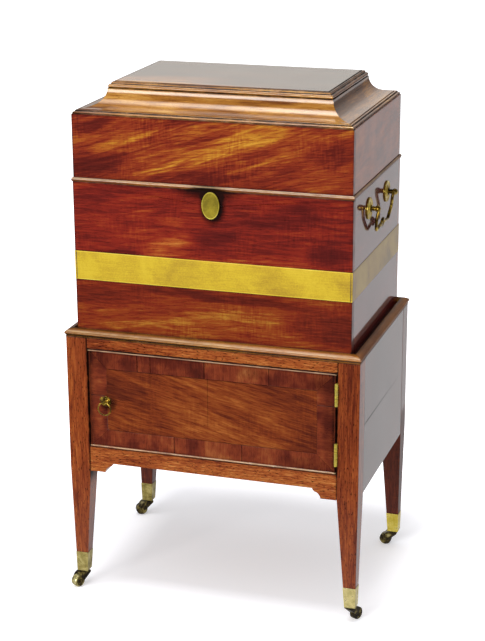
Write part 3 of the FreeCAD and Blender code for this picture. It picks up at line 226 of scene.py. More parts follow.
BACK_STEP, SIDE_STEP, RIGHT_STEP = 2.1, 3.7, 1.3    # so that a frame's lengths aren't one grain
SEAM_HALF = 0.0005
SEAM_BLACK = 0.7
BLACKEST = 0.04


def grain_axes(shader, part, spec):
    """Along, across and into the grain, swapped on a frame's side lengths; its mitres; its sides."""
    axes = spec.get("axes", "xzy")
    along, across, depth = (part[letter] for letter in axes)
    if "mitre" not in spec:
        return along, across, depth, 0.0, 0.0
    (first, middle_1, half_1), (second, middle_2, half_2) = spec["mitre"]
    far_1 = shader.sub(shader.math("ABSOLUTE", shader.sub(part[first], middle_1)), half_1)
    far_2 = shader.sub(shader.math("ABSOLUTE", shader.sub(part[second], middle_2)), half_2)
    side = shader.math("GREATER_THAN", far_1, far_2)
    swap = {first: second, second: first}
    other = [part[swap.get(letter, letter)] for letter in axes]
    mixed = [shader.blend(side, one, two) for one, two in zip((along, across, depth), other)]
    seam = shader.ease(shader.math("ABSOLUTE", shader.sub(far_1, far_2)), SEAM_HALF, 0.0)
    past_1 = shader.math("GREATER_THAN", part[first], middle_1)
    past_2 = shader.math("GREATER_THAN", part[second], middle_2)
    board = shader.blend(side, shader.mul(past_2, BACK_STEP),
                         shader.math("MULTIPLY_ADD", past_1, RIGHT_STEP, SIDE_STEP))
    return shader.add(mixed[0], board), mixed[1], mixed[2], seam, side


def grain_layers(shader, spec, along, across, depth):
    """The grain's noises by name, and the wandering line that they follow across the board."""
    wander = shader.noise(shader.combine(shader.mul(along, 6.0), shader.mul(across, 9.0),
                                         shader.mul(depth, 9.0)), detail=1.0)
    across = shader.math("MULTIPLY_ADD", shader.sub(wander, 0.5), spec.get("wander", 0.012), across)
    lean, straight = (
        shader.math("MULTIPLY_ADD", along, -math.tan(math.radians(spec.get(key, 0.0))), across)
        for key in ("slope", "grain_slope"))

    def layer(name, size, over, detail=2.0, rough=0.5, distortion=0.0):
        long, wide = spec.get(name + "_size", size)
        vector = shader.combine(shader.mul(along, 1 / long), shader.mul(over, 1 / wide),
                                shader.mul(depth, 1 / wide))
        return shader.noise(vector, detail=detail, rough=rough, distortion=distortion)

    return across, {
        "wander": wander,
        "cloud": layer("cloud", (0.16, 0.045), lean, rough=0.55),
        "streak": layer("streak", (0.11, 0.009), lean, 3.0, 0.6, spec.get("curl", 0.25)),
        "fibre": layer("fibre", (0.030, 0.0021), straight, rough=0.65),
        "pore": layer("pore", (0.005, 0.0010), straight, detail=1.0),
        "mottle": layer("mottle", (0.0036, 0.022), lean, detail=1.0)}


def figure_tone(shader, spec, place, part, grain, side):
    """Where along the palette a point lies."""
    patch = shader.ease(shader.noise(place, scale=13.0, detail=2.0), 0.42, 0.62)
    cloud, streak, fibre, mottle = (
        shader.sub(grain[name], 0.5) for name in ("cloud", "streak", "fibre", "mottle"))
    figure = shader.total([
        shader.math("MULTIPLY_ADD", cloud, spec.get("cloud", 0.7), spec.get("level", 0.45)),
        shader.mul(streak, spec.get("streak", 0.9)),
        shader.mul(fibre, spec.get("fibre", 0.35)),
        shader.mul(shader.mul(mottle, patch), spec.get("mottle", 0.25))])
    # A frame's side lengths drawn darker: painted shade.
    side_shade, _ = spec.get("side", (0.0, 1.0))
    if side_shade:
        figure = shader.math("MULTIPLY_ADD", side, side_shade, figure)
    if "spots" in spec:
        first, second, spots = spec["spots"]
        warp = shader.noise(place, scale=22.0, detail=2.0)
        v = shader.math("MULTIPLY_ADD", shader.sub(warp, 0.5), 0.012, part[second])
        ragged = shader.math("MULTIPLY_ADD", streak, 1.6, 1.0)
        drawn = shader.total([soft_spot(shader, part[first], v, spot) for spot in spots])
        figure = shader.math("MULTIPLY_ADD", drawn, ragged, figure)
    for letter, where, amount in spec.get("steps", ()):
        past = shader.math("GREATER_THAN", part[letter], where)
        figure = shader.math("MULTIPLY_ADD", past, amount, figure)
    return figure


def drawn_lines(shader, spec, part, wander):
    """The joints between pieces of one board, each between two places along it."""
    drawn = []
    for letter, where, reach, amount, other, low, high in spec.get("lines", ()):
        shift = shader.mul(shader.sub(wander, 0.5), spec.get("line_wobble", 0.002))
        line = near_line(shader, shader.add(part[letter], shift), where, reach)
        drawn.append(shader.mul(shader.mul(line, between(shader, part[other], low, high)), amount))
    return drawn


def stains_dirt_and_shade(shader, spec, place, part):
    """Dark patches on the front, stained ones and painted shadows, and painted shade with patchy dirt
    along lines.
    """
    marks = []
    # Dark patches on the front: stained ones, and painted shadows where so listed.
    if "stains_and_shade" in spec:
        in_front = shader.math("LESS_THAN", part["y"], 0.0)
        marks += [shader.mul(soft_spot(shader, part["x"], part["z"], spot), in_front)
                  for spot in spec["stains_and_shade"]]
    # Painted shade along joints, gaps and grooves and under edges, mottled by dirt.
    if "shade_and_dirt" in spec:
        blot = shader.ease(shader.noise(place, scale=70.0, detail=3.0), 0.2, 0.65, 0.35, 1.0)
        marks += [shader.mul(shader.mul(near_line(shader, part[letter], where, reach), blot), amount)
                  for letter, where, reach, amount in spec["shade_and_dirt"]]
    return marks


def highlight_lines(shader, spec, place, part, side, colour):
    """The colour with pale broken lines laid over it: painted highlights."""
    for letter, where, reach, amount, pale in spec.get("painted_highlights", ()):
        breakup = shader.noise(place, scale=45.0, detail=3.0)
        line = near_line(shader, part[letter], where, reach)
        painted_highlights = shader.mul(shader.mul(line, shader.ease(breakup, 0.3, 0.6, 0.4, 1.0)), amount)
        if spec.get("front_highlights_only"):
            painted_highlights = shader.mul(painted_highlights, shader.sub(1.0, side))
        colour = shader.tint(painted_highlights, colour, pale)
    return colour


def coat_weight(shader, spec, part, side, stains_and_shade):
    """The polish's weight: less under stained patches, painted shadows and painted shade with dirt, and on
    a frame's side lengths, more where it is glossier.
    """
    coat = spec.get("coat", 1.0)
    if stains_and_shade:
        coat = shader.math("MULTIPLY_ADD", shader.total(stains_and_shade), -coat, coat)
    _, side_coat = spec.get("side", (0.0, 1.0))
    if side_coat < 1.0:
        coat = shader.mul(coat, shader.math("MULTIPLY_ADD", side, side_coat - 1.0, 1.0))
    if "gloss" in spec:
        letter, low, high, more = spec["gloss"]
        coat = shader.add(coat, shader.ease(part[letter], low, high, 0.0, more))
    return coat


def wood(name, palette, **spec):
    """A French-polished board."""
    material, shader = new_material(name)
    place, part = coordinates(shader)
    along, across, depth, seam, side = grain_axes(shader, part, spec)
    along = shader.add(along, spec.get("seed", 0.0) * SEED_STEP)
    across, grain = grain_layers(shader, spec, along, across, depth)

    colour = shader.ramp(figure_tone(shader, spec, place, part, grain, side), palette)
    if "wash" in spec:
        letter, where, wash = spec["wash"]
        below = shader.math("LESS_THAN", part[letter], where)
        colour = shader.tint(below, colour, wash, "MULTIPLY")

    pores = shader.ease(grain["pore"], 0.60, 0.70)
    # Stained patches, painted shadows and painted shade with dirt darken the colour, with the pores and
    # joints.
    stains_and_shade = stains_dirt_and_shade(shader, spec, place, part)
    dark = [shader.mul(pores, spec.get("pores", 0.35))]
    if "mitre" in spec:
        dark.append(shader.mul(seam, SEAM_BLACK))
    dark += drawn_lines(shader, spec, part, grain["wander"]) + stains_and_shade
    shade = shader.math("MAXIMUM", shader.sub(1.0, shader.total(dark)), BLACKEST)
    colour = shader.tint(1.0, colour, shader.combine(shade, shade, shade), "MULTIPLY")
    # Painted highlight lines laid over the colour.
    colour = highlight_lines(shader, spec, place, part, side, colour)

    smudge = shader.noise(place, scale=14.0, detail=2.0)
    rough = shader.math("MULTIPLY_ADD", smudge, 0.18, spec.get("rough", 0.30))
    height = shader.math("MULTIPLY_ADD", pores, -0.6, shader.mul(grain["fibre"], 0.5))
    bump = shader.node("Bump", {"Strength": 0.25, "Distance": 0.0002, "Height": height})
    ripple = shader.noise(shader.combine(shader.mul(along, 18.0), shader.mul(across, 60.0),
                                         shader.mul(depth, 60.0)), detail=2.0)
    film = shader.node("Bump", {"Strength": spec.get("ripple", 0.12), "Distance": 0.0006,
                                "Height": ripple})
    surface = shader.node("BsdfPrincipled", {
        "Base Color": colour, "Roughness": rough, "Normal": bump, "Coat Normal": film,
        "Specular IOR Level": spec.get("specular", 0.05),
        "Coat Weight": coat_weight(shader, spec, part, side, stains_and_shade),
        "Coat Roughness": spec.get("coat_rough", 0.07), "Coat IOR": 1.5})
    shader.node("OutputMaterial", {"Surface": surface})
    return material


# ---------------------------------------------------------------- metal
# What a metal's entry may say, amounts again being steps along the palette.
#   level, cloud, cloud_scale, speck    where on the palette it lies, its clouds and its specks
#   lines, ring                brighter lines, which are painted highlights, or darker ones, and an oval painted highlight on a rim, after its two letters
#   past                                (letter, how far from the middle, level): a fixed darker level beyond, painted shade
#   rough, bump, metallic, coat         of the surface
BRUSH_AMOUNT = 0.25


def metal(name, palette, **spec):
    """Old brass: cloudy tone and fine scratches."""
    material, shader = new_material(name)
    place, part = coordinates(shader)
    cloud = shader.noise(place, scale=spec.get("cloud_scale", 28.0), detail=4.0, rough=0.6, distortion=0.4)
    speck = shader.noise(place, scale=420.0, detail=2.0)
    brush = shader.noise(shader.combine(shader.mul(part["x"], 35.0), shader.mul(part["y"], 35.0),
                                        shader.mul(part["z"], 1400.0)), detail=2.0)
    cloudy = shader.sub(cloud, 0.5)
    tone = shader.total([
        shader.math("MULTIPLY_ADD", cloudy, spec.get("cloud", 1.1), spec.get("level", 0.5)),
        shader.mul(shader.sub(speck, 0.5), spec.get("speck", 0.35)),
        shader.mul(shader.sub(brush, 0.5), BRUSH_AMOUNT)])
    # Listed lines; the brighter ones are painted highlights along edges.
    for letter, where, reach, amount in spec.get("lines", ()):
        tone = shader.add(tone, shader.mul(near_line(shader, part[letter], where, reach), amount))
    # Beyond a limit the tone is set lower: painted shade.
    if "past" in spec:
        letter, where, level = spec["past"]
        beyond = shader.math("GREATER_THAN", shader.math("ABSOLUTE", part[letter]), where)
        tone = shader.blend(beyond, tone, shader.math("MULTIPLY_ADD", cloudy, 0.35, level))
    # A painted highlight on an oval rim.
    if "ring" in spec:
        first, second, ring = spec["ring"]
        tone = shader.add(tone, soft_ring(shader, part[first], part[second], ring))
    rough = shader.math("MULTIPLY_ADD", shader.sub(0.6, tone), 0.25, spec.get("rough", 0.34))
    height = shader.math("MULTIPLY_ADD", brush, 0.4, shader.add(speck, shader.mul(cloud, 1.5)))
    bump = shader.node("Bump", {"Strength": spec.get("bump", 0.2), "Distance": 0.0003, "Height": height})
    surface = shader.node("BsdfPrincipled", {
        "Base Color": shader.ramp(tone, palette), "Roughness": rough, "Normal": bump,
        "Metallic": spec.get("metallic", 0.85), "Specular IOR Level": 0.15,
        "Coat Weight": spec.get("coat", 0.0), "Coat Roughness": 0.10})
    shader.node("OutputMaterial", {"Surface": surface})
    return material


# ---------------------------------------------------------------- palettes
LID_WOOD = [(0.0, srgb(50, 13, 10)), (0.3, srgb(90, 26, 18)), (0.5, srgb(128, 45, 23)),
            (0.68, srgb(152, 78, 28)), (0.85, srgb(178, 118, 36)), (1.0, srgb(196, 142, 48))]
CHEST_WOOD = [(0.0, srgb(42, 12, 12)), (0.3, srgb(88, 23, 19)), (0.5, srgb(126, 35, 22)),
              (0.66, srgb(148, 60, 26)), (0.84, srgb(176, 104, 42)), (1.0, srgb(192, 130, 58))]
DOOR_WOOD = [(0.0, srgb(48, 17, 10)), (0.3, srgb(84, 32, 16)), (0.5, srgb(114, 48, 19)),
             (0.75, srgb(142, 74, 28)), (1.0, srgb(170, 102, 46))]
BAND_WOOD = [(0.0, srgb(46, 16, 11)), (0.35, srgb(88, 32, 19)), (0.6, srgb(118, 50, 26)),
             (0.85, srgb(142, 76, 38)), (1.0, srgb(164, 100, 56))]
LEG_WOOD = [(0.0, srgb(60, 20, 10)), (0.3, srgb(102, 40, 17)), (0.55, srgb(140, 66, 26)),
            (0.8, srgb(168, 96, 42)), (1.0, srgb(192, 128, 66))]
MOULDING_WOOD = [(0.0, srgb(56, 24, 10)), (0.35, srgb(104, 54, 18)), (0.6, srgb(144, 88, 30)),
                 (0.85, srgb(176, 122, 46)), (1.0, srgb(202, 152, 72))]
LID_MOULDING_WOOD = [(0.0, srgb(56, 26, 12)), (0.35, srgb(104, 58, 24)), (0.6, srgb(148, 97, 38)),
                     (0.85, srgb(186, 138, 68)), (1.0, srgb(208, 168, 96))]
INNER_WOOD = [(0.0, srgb(92, 58, 34)), (0.4, srgb(134, 92, 56)), (0.7, srgb(160, 118, 76)),
              (1.0, srgb(186, 146, 100))]
BRIGHT_BRASS = [(0.0, srgb(92, 78, 54)), (0.12, srgb(150, 118, 40)), (0.35, srgb(194, 166, 44)),
                (0.65, srgb(214, 188, 62)), (0.85, srgb(230, 208, 96)), (1.0, srgb(244, 228, 146))]
COVER_BRASS = [(0.0, srgb(104, 92, 24)), (0.45, srgb(154, 138, 38)), (0.75, srgb(180, 164, 62)),
               (1.0, srgb(236, 222, 138))]
PALE_BRASS = [(0.0, srgb(96, 84, 40)), (0.35, srgb(150, 136, 78)), (0.65, srgb(192, 178, 118)),
              (0.85, srgb(216, 202, 142)), (1.0, srgb(232, 222, 172))]
GOLD_BRASS = [(0.0, srgb(112, 88, 20)), (0.4, srgb(176, 152, 46)), (0.7, srgb(198, 178, 72)),
              (1.0, srgb(222, 206, 120))]
DARK_BRASS = [(0.0, srgb(16, 12, 10)), (0.42, srgb(44, 36, 22)), (0.58, srgb(92, 80, 40)),
              (0.75, srgb(158, 146, 90)), (1.0, srgb(214, 206, 152))]
HANDLE_BRASS = [(0.0, srgb(24, 15, 7)), (0.30, srgb(88, 66, 22)), (0.55, srgb(170, 140, 52)),
                (0.8, srgb(216, 192, 92)), (1.0, srgb(240, 224, 144))]
# The colour of the painted highlight lines.
HIGHLIGHT_CREAM = srgb(212, 180, 136)


# ---------------------------------------------------------------- boards and their materials
# Soft marks in the figure: middle (two letters), half length, half width, degrees, amount
LID_SPOTS = ("x", "z", (
    (0.020, 0.770, 0.150, 0.013, 17, 0.15), (0.030, 0.800, 0.160, 0.022, 2, 0.13),
    (0.020, 0.780, 0.190, 0.045, 8, 0.10),
    (-0.145, 0.778, 0.075, 0.011, 18, 0.26), (-0.085, 0.735, 0.055, 0.008, 17, 0.22),
    (0.195, 0.806, 0.060, 0.012, 16, 0.18), (0.110, 0.762, 0.070, 0.009, 21, 0.17),
    (-0.195, 0.800, 0.045, 0.015, 17, -0.24), (-0.185, 0.738, 0.070, 0.022, 12, -0.20),
    (0.000, 0.790, 0.090, 0.006, 17, -0.18), (-0.030, 0.724, 0.120, 0.012, 4, -0.16),
    (0.205, 0.770, 0.045, 0.022, 17, -0.16), (0.165, 0.752, 0.060, 0.007, 17, 0.14)))
CHEST_SPOTS = ("x", "z", (
    (-0.074, 0.614, 0.058, 0.014, 13, 0.20), (-0.075, 0.598, 0.050, 0.007, 8, 0.26),
    (0.003, 0.634, 0.050, 0.018, 10, -0.10), (0.194, 0.617, 0.050, 0.028, 0, -0.22),
    (-0.160, 0.585, 0.060, 0.020, 8, -0.20), (0.110, 0.665, 0.090, 0.020, 4, -0.10),
    (-0.114, 0.663, 0.040, 0.006, 12, 0.18), (0.090, 0.600, 0.110, 0.010, 3, 0.14),
    (-0.190, 0.690, 0.060, 0.020, 4, -0.12), (0.155, 0.690, 0.060, 0.012, 5, -0.10),
    (-0.130, 0.480, 0.110, 0.012, 6, 0.10), (-0.010, 0.486, 0.250, 0.040, 0, 0.10),
    (0.010, 0.535, 0.230, 0.010, -2, -0.24), (0.185, 0.500, 0.090, 0.034, -4, -0.20),
    (-0.200, 0.520, 0.080, 0.020, 6, -0.14)))
DOOR_SPOTS = ("x", "z", (
    (-0.130, 0.385, 0.080, 0.008, -14, 0.16), (0.020, 0.372, 0.120, 0.007, -16, 0.18),
    (0.090, 0.340, 0.110, 0.009, -20, 0.16), (-0.080, 0.330, 0.090, 0.012, -14, -0.12),
    (-0.170, 0.385, 0.110, 0.045, -10, -0.20), (0.020, 0.315, 0.150, 0.030, -12, 0.18),
    (0.170, 0.300, 0.060, 0.040, -10, -0.14),
    (0.120, 0.390, 0.080, 0.010, -10, -0.12), (-0.020, 0.310, 0.110, 0.008, -18, 0.10)))
CAP_SPOTS = ("x", "y", (
    (-0.120, -0.080, 0.150, 0.050, 15, 0.42), (-0.020, -0.100, 0.180, 0.016, 0, 0.30)))

# Mitred frames: two letters, each with its middle and half size
DOOR_MITRE = (("x", -0.00025, 0.20975), ("z", 0.346, 0.085))
LID_MITRE = (("x", 0.0, 0.229), ("y", 0.0, 0.1575))
CHEST_MITRE = (("x", 0.0, 0.230), ("y", 0.0, 0.1585))
STAND_MITRE = (("x", 0.0, 0.249), ("y", 0.0, 0.171))
TOP_BAND, LOW_BAND = ("z", 0.398, 0.43), ("z", 0.262, 0.295)
# Painted shade with dirt in the lid moulding's grooves: height, reach and share of black.
LID_GROOVE_SHADE_AND_DIRT = tuple(("z", level, reach, amount) for level, reach, amount in (
    (0.8163, 0.0012, 1.1), (0.8201, 0.0016, 1.2), (0.8508, 0.0016, 1.2), (0.8572, 0.0014, 1.1),
    (0.8600, 0.0009, 1.0)))

WOODS = {
    # Painted shade with dirt along the bottom edge, at both corners and under the moulding.
    "lid_front_wood": (LID_WOOD, dict(
        slope=17, grain_slope=6, level=0.45, cloud=0.5, streak=0.75, fibre=0.65, mottle=0.36, curl=0.8,
        streak_size=(0.07, 0.007), spots=LID_SPOTS, seed=1.0,
        shade_and_dirt=(("z", 0.7139, 0.005, 0.45), ("x", -0.229, 0.004, 0.5), ("x", 0.229, 0.003, 0.5),
               ("z", 0.815, 0.0022, 0.7)))),
    # Dark patches about and above the keyhole cover. Painted shade with dirt along the band's edges, under
    # the bead, at both corners and just above the stand's moulding.
    "chest_front_wood": (CHEST_WOOD, dict(
        slope=5, grain_slope=1, level=0.53, cloud=0.4, streak=0.55, fibre=0.60, curl=0.6,
        steps=(("z", 0.546, -0.08),), wash=("z", 0.546, (0.84, 1.12, 0.76, 1)),
        streak_size=(0.06, 0.006), spots=CHEST_SPOTS, seed=3.0, coat_rough=0.08,
        stains_and_shade=((0.0040, 0.682, 0.036, 0.025, 90, 1.5), (-0.002, 0.705, 0.066, 0.018, 0, 0.9)),
        shade_and_dirt=(("z", 0.593, 0.003, 0.5), ("z", 0.546, 0.003, 0.6), ("z", 0.7065, 0.004, 0.6),
               ("x", -0.230, 0.003, 0.4), ("x", 0.230, 0.003, 0.5), ("z", 0.4626, 0.004, 0.5)))),
    # A darker copy of the chest's wood under the sides' sheen: painted shade. Painted shade with dirt near
    # the front corner and along the band's edges.
    "chest_side_shaded_wood": (CHEST_WOOD, dict(
        axes="yzx", slope=2, level=0.28, cloud=0.4, streak=0.3, fibre=0.3, seed=8.0, coat_rough=0.05,
        ripple=0.08, shade_and_dirt=(("y", -0.1585, 0.003, 0.5), ("z", 0.593, 0.002, 0.4),
                            ("z", 0.546, 0.002, 0.4)))),
    # Painted shade with dirt near the front corner and under the moulding.
    "lid_side_wood": (LEG_WOOD, dict(
        axes="yzx", slope=2, level=0.46, cloud=0.8, streak=0.3, fibre=0.3, seed=5.0, coat_rough=0.06,
        coat=0.76, cloud_size=(0.06, 0.03),
        ripple=0.08, shade_and_dirt=(("y", -0.1575, 0.003, 0.5), ("z", 0.815, 0.002, 0.5)))),
    "back_wood": (DOOR_WOOD, dict(slope=1, level=0.46, cloud=0.5, streak=0.5, seed=11.0, coat_rough=0.10)),
    # The lid's top set dark under its sheen: painted shade. Painted shade with dirt in the grooves along
    # its edges.
    "cap_shaded_wood": (MOULDING_WOOD, dict(
        axes="xyz", slope=1, level=0.06, cloud=0.3, streak=0.35, fibre=0.3, seed=13.0, coat_rough=0.06,
        ripple=0.06, spots=CAP_SPOTS, shade_and_dirt=(("x", 0.175, 0.0022, 0.8), ("x", -0.175, 0.0022, 0.8),
                                                ("y", 0.1035, 0.0022, 0.8), ("y", -0.1035, 0.0022, 0.6)))),
    # Side lengths darker: painted shade. Painted shade with dirt in the grooves, and a darker stretch over
    # the left end.
    "lid_moulding_wood": (LID_MOULDING_WOOD, dict(
        mitre=LID_MITRE, level=0.54, cloud=1.3, streak=0.7,
        side=(-0.18, 0.9), fibre=0.5, mottle=0.1, streak_size=(0.06, 0.007), seed=17.0, coat_rough=0.09,
        shade_and_dirt=LID_GROOVE_SHADE_AND_DIRT + (("x", -0.228, 0.022, 0.4),))),
    # Side lengths darker: painted shade. The front darkens toward its left end: painted shade. A pale
    # broken line along the nose: painted highlight. Painted shade with dirt at the foot, under the nose
    # and where it meets the chest.
    "stand_moulding_wood": (MOULDING_WOOD, dict(
        mitre=STAND_MITRE, level=0.64, cloud=0.6, streak=0.3,
        side=(-0.14, 0.30), fibre=0.3, streak_size=(0.10, 0.020), seed=19.0, coat_rough=0.10, coat=0.72,
        stains_and_shade=((-0.249, 0.456, 0.40, 0.06, 0, 0.36),),
        painted_highlights=(("z", 0.4592, 0.0016, 0.4, HIGHLIGHT_CREAM),), front_highlights_only=True,
        shade_and_dirt=(("z", 0.4504, 0.0007, 0.9), ("z", 0.4530, 0.0021, 1.7), ("z", 0.4626, 0.0014, 0.45)))),
    # Side lengths darker: painted shade. A dark rubbed patch above the keyhole cover. A pale line along
    # the top: painted highlight. Painted shade with dirt under the bead and in the joint above it.
    "chest_bead_wood": (MOULDING_WOOD, dict(
        mitre=CHEST_MITRE, level=0.42, cloud=0.5, streak=0.3,
        side=(-0.15, 0.4), fibre=0.3, streak_size=(0.10, 0.020), seed=23.0, coat_rough=0.12,
        stains_and_shade=((-0.004, 0.709, 0.038, 0.010, 0, 0.97),),
        painted_highlights=(("z", 0.7122, 0.0015, 0.5, HIGHLIGHT_CREAM),),
        shade_and_dirt=(("z", 0.7064, 0.0024, 1.1), ("z", 0.7139, 0.0006, 0.6)))),
    # Painted shade with dirt in the gaps at both sides and above. Pale lines on the top and bottom beads:
    # painted highlights.
    "door_bead_wood": (LEG_WOOD, dict(
        mitre=DOOR_MITRE, level=0.26, cloud=0.4, streak=0.3, seed=29.0, coat_rough=0.10, coat=0.6,
        shade_and_dirt=(("x", -0.2100, 0.0040, 1.6), ("x", 0.2095, 0.0036, 1.5), ("z", 0.4310, 0.0020, 1.0)),
        painted_highlights=(("z", 0.2632, 0.0018, 0.6, HIGHLIGHT_CREAM), ("z", 0.4290, 0.0014, 0.6, HIGHLIGHT_CREAM)))),
    # The dark spot by the door pull is its painted shadow. Painted shade with dirt along the
    # crossbanding's edges.
    "door_field_wood": (DOOR_WOOD, dict(
        slope=-15, grain_slope=-8, level=0.50, cloud=0.4, streak=0.75, fibre=0.75, curl=0.5,
        streak_size=(0.05, 0.006), spots=DOOR_SPOTS, seed=31.0, coat_rough=0.08,
        lines=(("x", -0.1028, 0.0010, 0.5, "z", 0.375, 0.425),
               ("x", -0.0045, 0.0010, 0.5, "z", 0.318, 0.425)),
        stains_and_shade=((-0.173, 0.338, 0.018, 0.013, 60, 0.7),),
        shade_and_dirt=(("z", 0.2925, 0.0020, 0.9), ("z", 0.3995, 0.0020, 1.0), ("x", -0.1785, 0.0014, 0.3),
               ("x", 0.178, 0.0014, 0.3)))),
    # The first dark spot is the door pull's painted shadow; the others darken patches near the edges and
    # corners. Painted shade with dirt along the door's edges.
    "door_band_wood": (BAND_WOOD, dict(
        mitre=DOOR_MITRE, axes="zxy", level=0.52, cloud=1.1, streak=0.4, fibre=0.45, mottle=0.2, curl=0.8,
        streak_size=(0.022, 0.010), cloud_size=(0.03, 0.030), seed=37.0, coat_rough=0.08,
        steps=(("x", -0.1245, 0.06), ("x", -0.1021, -0.10), ("x", -0.0098, 0.12), ("x", 0.0985, -0.06),
               ("z", 0.30, -0.05)),
        stains_and_shade=((-0.178, 0.336, 0.016, 0.012, 0, 0.8), (0.194, 0.412, 0.034, 0.022, 0, 0.42),
                (0.197, 0.340, 0.014, 0.075, 0, 0.26), (0.160, 0.274, 0.060, 0.014, 0, 0.26),
                (-0.193, 0.414, 0.032, 0.020, 0, 0.30), (0.070, 0.416, 0.034, 0.012, 0, 0.24)),
        lines=(("x", -0.1245, 0.0013, 0.9, *TOP_BAND), ("x", -0.1021, 0.0011, 0.8, *TOP_BAND),
               ("x", -0.0098, 0.0013, 0.9, *TOP_BAND), ("x", 0.0985, 0.0012, 0.8, *TOP_BAND),
               ("x", -0.0626, 0.0012, 0.8, *LOW_BAND), ("x", 0.0529, 0.0012, 0.8, *LOW_BAND),
               ("z", 0.352, 0.0011, 0.7, "x", -0.21, -0.178), ("z", 0.375, 0.0011, 0.7, "x", 0.178, 0.21)),
        line_wobble=0.0,
        shade_and_dirt=(("z", 0.4275, 0.004, 0.5), ("z", 0.2645, 0.004, 0.4), ("x", -0.2065, 0.008, 0.5),
               ("x", 0.206, 0.006, 0.6)))),
    # Painted shade with dirt under the rails, above the sockets and along the door's gaps.
    "leg_wood": (LEG_WOOD, dict(
        axes="zxy", level=0.50, cloud=0.5, streak=0.55, fibre=0.9, pores=0.8, seed=41.0, coat_rough=0.12,
        coat=0.75, cloud_size=(0.16, 0.03), streak_size=(0.06, 0.005), pore_size=(0.007, 0.0012),
        mottle=0.1, steps=(("x", 0.0, -0.08),),
        shade_and_dirt=(("z", 0.4495, 0.002, 0.8), ("z", 0.063, 0.002, 0.6), ("x", -0.211, 0.0034, 1.3),
               ("x", 0.211, 0.0026, 1.1)))),
    # A darker copy of the legs' wood for the back legs: painted shade.
    "back_leg_shaded_wood": (LEG_WOOD, dict(
        axes="zxy", level=0.14, cloud=0.3, streak=0.4, fibre=0.5, pores=0.5, seed=42.0, coat_rough=0.12,
        coat=0.35, cloud_size=(0.16, 0.03), streak_size=(0.06, 0.005), pore_size=(0.010, 0.0016),
        gloss=("z", 0.250, 0.275, 0.60))),
    # Painted shade with dirt at the joints and edges.
    "rail_wood": (LEG_WOOD, dict(
        level=0.59, cloud=0.9, streak=0.7, fibre=1.3, pores=1.0, seed=43.0, curl=0.1,
        mottle=0.1, streak_size=(0.05, 0.004), fibre_size=(0.016, 0.0016), pore_size=(0.006, 0.0012),
        wander=0.005, coat_rough=0.10,
        shade_and_dirt=(("z", 0.4495, 0.0015, 0.7), ("x", -0.211, 0.002, 0.7), ("x", 0.211, 0.002, 0.7),
               ("z", 0.2605, 0.0015, 0.5), ("z", 0.4318, 0.0020, 0.9)))),
    # A darker copy of the legs' wood under the side panels' sheen: painted shade.
    "stand_side_shaded_wood": (LEG_WOOD, dict(
        axes="zyx", level=0.06, cloud=0.3, streak=0.2, fibre=0.2, seed=47.0, coat_rough=0.05, ripple=0.08,
        lines=(("z", 0.337, 0.0012, 0.9, "y", -0.135, 0.135),), line_wobble=0.0)),
    "inner_wood": (INNER_WOOD, dict(
        axes="xyz", level=0.5, cloud=0.5, streak=0.5, fibre=0.4, seed=53.0, rough=0.5, coat=0.0,
        specular=0.3)),
    "divider_wood": (INNER_WOOD, dict(
        level=0.45, cloud=0.5, streak=0.5, fibre=0.4, seed=59.0, rough=0.5, coat=0.0, specular=0.3)),
}
WOOD_OF_NODE = {
    "lid_front": "lid_front_wood", "lid_back": "back_wood", "lid_side_left": "lid_side_wood",
    "lid_side_right": "lid_side_wood", "lid_cap": "cap_shaded_wood", "lid_moulding": "lid_moulding_wood",
    "chest_front": "chest_front_wood", "chest_back": "back_wood", "chest_side_left": "chest_side_shaded_wood",
    "chest_side_right": "chest_side_shaded_wood", "chest_bead": "chest_bead_wood", "chest_bottom": "inner_wood",
    "divider_long": "divider_wood", "divider_cross": "divider_wood",
    "stand_moulding": "stand_moulding_wood",
    "stand_side_left": "stand_side_shaded_wood", "stand_side_right": "stand_side_shaded_wood", "stand_back": "back_wood",
    "front_top_rail": "rail_wood", "front_bottom_rail": "rail_wood", "cupboard_floor": "inner_wood",
    "stand_dust_board": "inner_wood", "door_board": "back_wood", "door_field_veneer": "door_field_wood",
    "door_crossbanding": "door_band_wood", "door_cockbead": "door_bead_wood",
    "leg_front_left": "leg_wood", "leg_front_right": "leg_wood", "leg_back_left": "back_leg_shaded_wood",
    "leg_back_right": "back_leg_shaded_wood",
}

